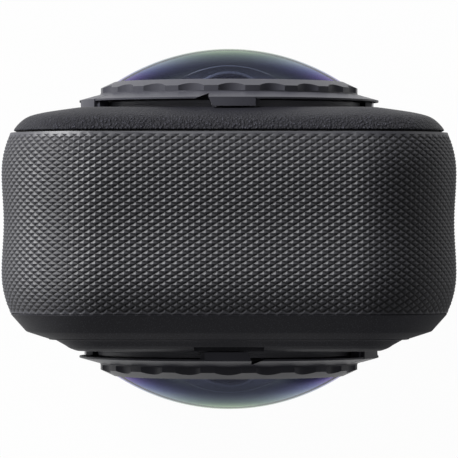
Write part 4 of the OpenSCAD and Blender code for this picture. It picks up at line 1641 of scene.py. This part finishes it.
@dataclass
class Lens(Assembly):
    """One dome lens: coated dome, scalloped ring, inner elements, barrel and socket."""

    face: Face = Face.FRONT
    ring_top: float = 3.8
    flange_slope: tuple[Point2, Point2] = ((18.2, 2.09), (21.3, 1.22))
    flange_clear: float = 3.0
    dome_reach: float = 15.9
    dome_rise: float = 4.75
    dome_thick: float = 0.3
    dome_seat: float = 16.15
    barrel_top: float = 19.2
    element_foot: float = 2.4
    first: Vector3 = (9.6, 13.5, 22.75)
    second: Vector3 = (5.6, 6.4, 22.0)
    retainers: tuple[Vector3, ...] = ((9.75, -1.0, 1.0), (11.4, -0.5, 0.75), (12.5, 0.0, 0.35))
    retainer_wide: float = 0.8
    retainer_ease: float = 0.15

    @staticmethod
    def cap(ball: float, centre: float, reach: float, steps: int) -> list[Point2]:
        """Draws an arc from the axis outwards.

        Args:
            ball: radius of the arc.
            centre: depth of its centre.
            reach: how far from the axis it goes.
            steps: parts of the arc.

        Returns:
            Points of radius and depth.
        """
        return [(reach * k / steps, centre + math.sqrt(ball ** 2 - (reach * k / steps) ** 2))
                for k in range(steps + 1)]

    def element(self, form: Vector3, name: str) -> bpy.types.Object:
        """Turns an inner element with a round face and a flat back.

        Args:
            form: its radius, the radius of its face and the depth of the face's middle.
            name: the piece's name.

        Returns:
            The element.
        """
        reach, ball, apex = form
        low = self.barrel_top - self.element_foot
        section = [*self.cap(ball, apex - ball, reach, 24), (reach, low), (0.0, low)]
        return smooth(Solid().turned(LENS_AXIS, section).piece(name, self.face.matrix()), 40.0)

    def over_flange(self) -> Solid:
        """Fills the room over the sloping flange, where the ring's tabs are cut down to its slope.

        Returns:
            The solid.
        """
        lower = [(reach, FORM.seat + rise) for reach, rise in self.flange_slope]
        upper = [(reach, FORM.seat + self.flange_clear) for reach, _ in reversed(self.flange_slope)]
        return Solid().turned(LENS_AXIS, [*lower, *upper])

    def build(self) -> None:
        """Builds the glass and rings and dresses what the CAD gives."""
        label = self.face.label()
        body = f"{label}_lens"
        matrix = self.face.matrix()
        ball = (self.dome_reach ** 2 + self.dome_rise ** 2) / (2 * self.dome_rise)
        centre = FORM.seat + self.ring_top + self.dome_rise - ball
        outer = self.cap(ball, centre, self.dome_seat, 28)
        inner = self.cap(ball - self.dome_thick, centre, self.dome_seat, 28)
        dome = Solid().turned(LENS_AXIS, [*outer, *reversed(inner)]).piece(f"{label}_coated_dome", matrix)
        self.add(smooth(dome, 40.0), DOME, body, f"{label}_dome")
        ring = cad_copy(self.frame, f"{label}_lens_ring", f"{label}_scalloped_ring", True)
        shape_with(ring, [self.over_flange().piece("ring_tool", matrix)], Cut.REMOVE)
        self.add(eased(ring, 0.12), RING_SATIN, body, f"{label}_lens_ring")
        first = self.element(self.first, f"{label}_first_element")
        self.add(first, FIRST_ELEMENT, BODY, f"{label}_inner_lens")
        self.add(self.element(self.second, f"{label}_second_element"), ELEMENT, BODY)
        self.add(self.retaining_rings(), RETAINER, BODY)
        self.soften(f"{label}_socket", f"{label}_lens_socket", SOCKET_PAINTED_FILL, BODY, 0.05)
        self.dress(BARREL, f"{label}_barrel")
        self.dress(RED_SEAL, f"{label}_lens_seal")
        self.dress(TURNED, f"{label}_socket_nut")
        self.dress(ELEMENT, f"{label}_relay_lens")
        self.dress(SENSOR, f"{label}_sensor")
        self.dress(BOARD, f"{label}_sensor_board")
        self.dress(FILM, f"{label}_flex")

    def retaining_rings(self) -> bpy.types.Object:
        """Turns the stepped rings that hold the elements in their barrel.

        Returns:
            The rings, as one piece.
        """
        rings = Solid()
        wide, ease = self.retainer_wide, self.retainer_ease
        for reach, sunk, rise in self.retainers:
            foot = self.barrel_top + sunk
            top = foot + rise
            rings.turned(LENS_AXIS, [(reach, foot), (reach + wide, foot), (reach + wide, top - ease),
                                     (reach + wide - ease, top), (reach + ease, top), (reach, top - ease)])
        return smooth(rings.piece(f"{self.face.label()}_retaining_rings", self.face.matrix()), 30.0)


# Buttons, latch, base and what lies inside


@dataclass
class SideControls(Assembly):
    """Dished shutter button, mode button, and the door's latch and hinge."""

    cap_face: float = 30.8
    shutter_up: float = 39.99
    dish_reach: float = 4.5
    dish_depth: float = 0.45

    def dish(self) -> Solid:
        """Fills the shallow bowl that a fingertip finds on the shutter button.

        Returns:
            The solid.
        """
        ball = (self.dish_reach ** 2 + self.dish_depth ** 2) / (2 * self.dish_depth)
        floor = self.cap_face - self.dish_depth
        rows = [self.dish_reach * k / 12 for k in range(13)]
        bowl = [(r, floor + ball - math.sqrt(ball ** 2 - r ** 2)) for r in rows]
        above = self.cap_face + 1.0
        return Solid().turned((0.0, self.shutter_up), [*bowl, (self.dish_reach, above), (0.0, above)])

    def build(self) -> None:
        """Shapes the buttons and the latch and dresses the parts behind them."""
        shutter = cad_copy(self.frame, "shutter_button", "shutter_button_cap", True)
        shape_with(shutter, [self.dish().piece("dish_tool", RIGHT_SIDE)], Cut.REMOVE)
        self.add(eased(shutter, 0.2), BUTTON, "shutter", "shutter_button")
        self.soften("mode_button", "mode_button_cap", BUTTON, "mode", 0.3)
        self.soften("door_latch", "ribbed_door_latch", LATCH, "latch", 0.12)
        self.dress(SEAL, "door_gasket")
        self.dress(STEEL, "door_hinge_pin", "latch_spring")
        self.dress(SWITCH, "shutter_switch", "mode_switch")


@dataclass
class Base(Assembly):
    """Base plate with its folding mounting fingers and a threaded tripod insert."""

    thread_reach: Point2 = (2.45, 2.62)
    thread_pitch: float = 1.27
    thread_up: Point2 = (0.6, 6.4)
    thread_half: float = 0.35
    thread_steps: int = 40

    def build(self) -> None:
        """Rounds the plate and the fingers and cuts a thread in the insert."""
        self.soften("base_plate", "grained_base_plate", BASE, BODY, 0.12)
        self.soften("left_finger", "left_mounting_finger", FINGER, "left_arm", 0.18)
        self.soften("right_finger", "right_mounting_finger", FINGER, "right_arm", 0.18)
        self.soften("tripod_insert", "tripod_insert_shell", BRASS, BODY, 0.1)
        self.dress(STEEL, "finger_pins")
        self.add(smooth(self.thread(), 30.0), BRASS, BODY)

    def thread(self) -> bpy.types.Object:
        """Sweeps the thread's ridge up the insert.

        Returns:
            The ridge, a closed mesh.
        """
        crest, root = self.thread_reach
        low, high = self.thread_up
        steps = self.thread_steps
        count = int((high - low) / self.thread_pitch * steps)
        loops = []
        for k in range(count + 1):
            turn = 2 * math.pi * k / steps
            up = low + self.thread_pitch * k / steps
            section = ((root, up - self.thread_half), (crest, up), (root, up + self.thread_half))
            loops.append([(r * math.cos(turn), r * math.sin(turn), h) for r, h in section])
        return Solid().loft(loops).piece("tripod_thread", Matrix.Scale(MM, 4))


@dataclass
class Inside(Assembly):
    """Frame, battery, card, port, boards and heat path, seen when the door is open."""

    def build(self) -> None:
        """Dresses the inner parts and rounds the ones that show behind the door."""
        self.dress(CAST, "mid_frame")
        self.soften("battery", "wrapped_battery", WRAP, BODY, 0.6)
        self.dress(TRAY, "battery_tray")
        self.dress(GOLD, "battery_contacts")
        self.dress(STEEL, "card_socket", "usb_port")
        self.soften("memory_card", "memory_card_body", CARD, "card", 0.15)
        self.dress(BOARD, "port_board", "main_board")
        self.dress(CHIP, "processor")
        self.dress(SINK, "heat_sink")


# Studio


@dataclass(frozen=True)
class Lamp:
    """A soft rectangular lamp that looks at the object's middle."""

    name: str
    place: Vector3
    size: Point2
    power: float
    aim: Vector3 = (0.0, 0.0, 0.05)

    def build(self) -> None:
        """Adds the lamp to the scene."""
        light = bpy.data.lights.new(self.name, "AREA")
        light.shape = "RECTANGLE"
        light.size, light.size_y = self.size
        light.energy = self.power
        lamp = linked(bpy.data.objects.new(self.name, light))
        lamp.location = self.place
        lamp.rotation_euler = (Vector(self.aim) - lamp.location).to_track_quat("-Z", "Y").to_euler()


@dataclass
class Studio:
    """White floor, soft lamps and a camera that looks straight down on the top."""

    camera_up: float = 0.690
    camera_near: float = 0.01
    focal_pixels: float = 4653.0
    sensor: float = 36.0
    floor_size: float = 3.0
    floor_drop: float = 0.0003
    floor_foot: float = 0.005
    floor_tone: Linear = (0.5, 0.5, 0.5, 1.0)
    floor_glow: float = 0.975
    card_edge: Point2 = (0.024, 0.032)
    card_end: Point2 = (0.0, 0.02)
    side_edge: Point2 = (0.1, 0.4)
    side_end: Point2 = (0.0, 0.2)
    end_slant: float = 0.2
    dark_card: float = 0.85
    left_card: float = 0.3
    wall: float = 0.9
    ceiling_dim: float = 0.86
    ceiling_edge: Point2 = (-0.05, 0.2)
    right_dim: float = 0.75
    right_edge: Point2 = (-0.35, 0.45)
    soft_level: float = 0.3
    lamps: tuple[Lamp, ...] = (
        Lamp("key_rear_left", (-0.49, 0.51, 0.32), (0.3, 0.3), 11.5),
        Lamp("rim_right", (0.56, 0.3, 0.12), (0.15, 0.3), 0.25),
    )

    def build(self) -> None:
        """Sets up the camera, the floor, the world and the lamps."""
        self.add_camera()
        self.add_floor()
        self.fill_world()
        for lamp in self.lamps:
            lamp.build()
        bpy.context.scene.view_settings.view_transform = "Standard"

    def add_camera(self) -> None:
        """Adds the camera at the photograph's viewing angle."""
        data = bpy.data.cameras.new("top_view")
        data.sensor_width = self.sensor
        data.lens = self.sensor * self.focal_pixels / IMAGE_WIDTH
        data.clip_start = self.camera_near
        camera = linked(bpy.data.objects.new("top_view", data))
        camera.location = (0.0, 0.0, self.camera_up)
        bpy.context.scene.camera = camera

    def add_floor(self) -> None:
        """Lays a white floor that keeps a faint shadow and shows darker at the sides in reflections."""
        half = self.floor_size / 2 / MM
        floor = Solid().block((-half, -half, -self.floor_foot / MM), (half, half, -self.floor_drop / MM))
        piece = floor.piece("white_floor", Matrix.Scale(MM, 4))
        made = bpy.data.materials.new("white_sweep")
        made.use_nodes = True
        graph = Graph(made.node_tree)
        matt = graph.node("ShaderNodeBsdfDiffuse", sockets={"Color": self.floor_tone})
        glow = graph.node("ShaderNodeEmission", sockets={"Color": WHITE, "Strength": 1.0})
        right, depth, _ = graph.parts()
        front = 1.0 - (depth - self.end_slant * right).rise(*self.card_end)
        dark_card = right.rise(*self.card_edge) * front
        left_card = (-1.0 * right).rise(*self.card_edge)
        direct, mirrored = graph.rays()
        white = direct.larger(mirrored * (1.0 - self.dark_card * dark_card - self.left_card * left_card))
        graph.close(graph.blend(self.floor_glow * white, matt, glow))
        piece.data.materials.append(made)

    def fill_world(self) -> None:
        """Fills the surroundings with soft white, dimmer overhead, on the right and in soft light."""
        world = bpy.context.scene.world or bpy.data.worlds.new("studio")
        bpy.context.scene.world = world
        world.use_nodes = True
        graph = Graph(world.node_tree)
        across = graph.node("ShaderNodeTexCoord", output="Generated")
        right, depth, height = (graph.node("ShaderNodeSeparateXYZ", sockets={0: across}, output=axis)
                                for axis in "XYZ")
        front = 1.0 - (depth - self.end_slant * right).rise(*self.side_end)
        dark_side = right.rise(*self.side_edge) * front
        ceiling = self.wall - self.ceiling_dim * height.rise(*self.ceiling_edge)
        ceiling = ceiling * (1.0 - self.dark_card * dark_side)
        ceiling = ceiling * (1.0 - self.right_dim * right.rise(*self.right_edge))
        direct, mirrored = graph.rays()
        soft = self.soft_level + mirrored * (ceiling - self.soft_level)
        dark, white = (graph.node("ShaderNodeBackground", sockets={"Color": WHITE, "Strength": level})
                       for level in (0.0, 1.0))
        graph.close(graph.blend(direct.larger(soft), dark, white), "ShaderNodeOutputWorld")


def corners(bounds: Sequence[Sequence[float]]) -> list[list[float]]:
    """Turns a box into plain lists of numbers."""
    return [[float(part) for part in corner] for corner in bounds]


def main() -> None:
    """Loads the frame, builds the studio and each sub-assembly."""
    logging.basicConfig(level=logging.INFO, format="%(name)s: %(message)s")
    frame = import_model()
    Studio().build()
    for assembly in (Knurl(frame), RearShell(frame), FrontShell(frame),
                     Lens(frame, face=Face.FRONT), Lens(frame, face=Face.REAR),
                     SideControls(frame), Base(frame), Inside(frame)):
        assembly.build()
        LOG.info("%s: %d new pieces", type(assembly).__name__, len(assembly.pieces))


if __name__ == "__main__":
    main()
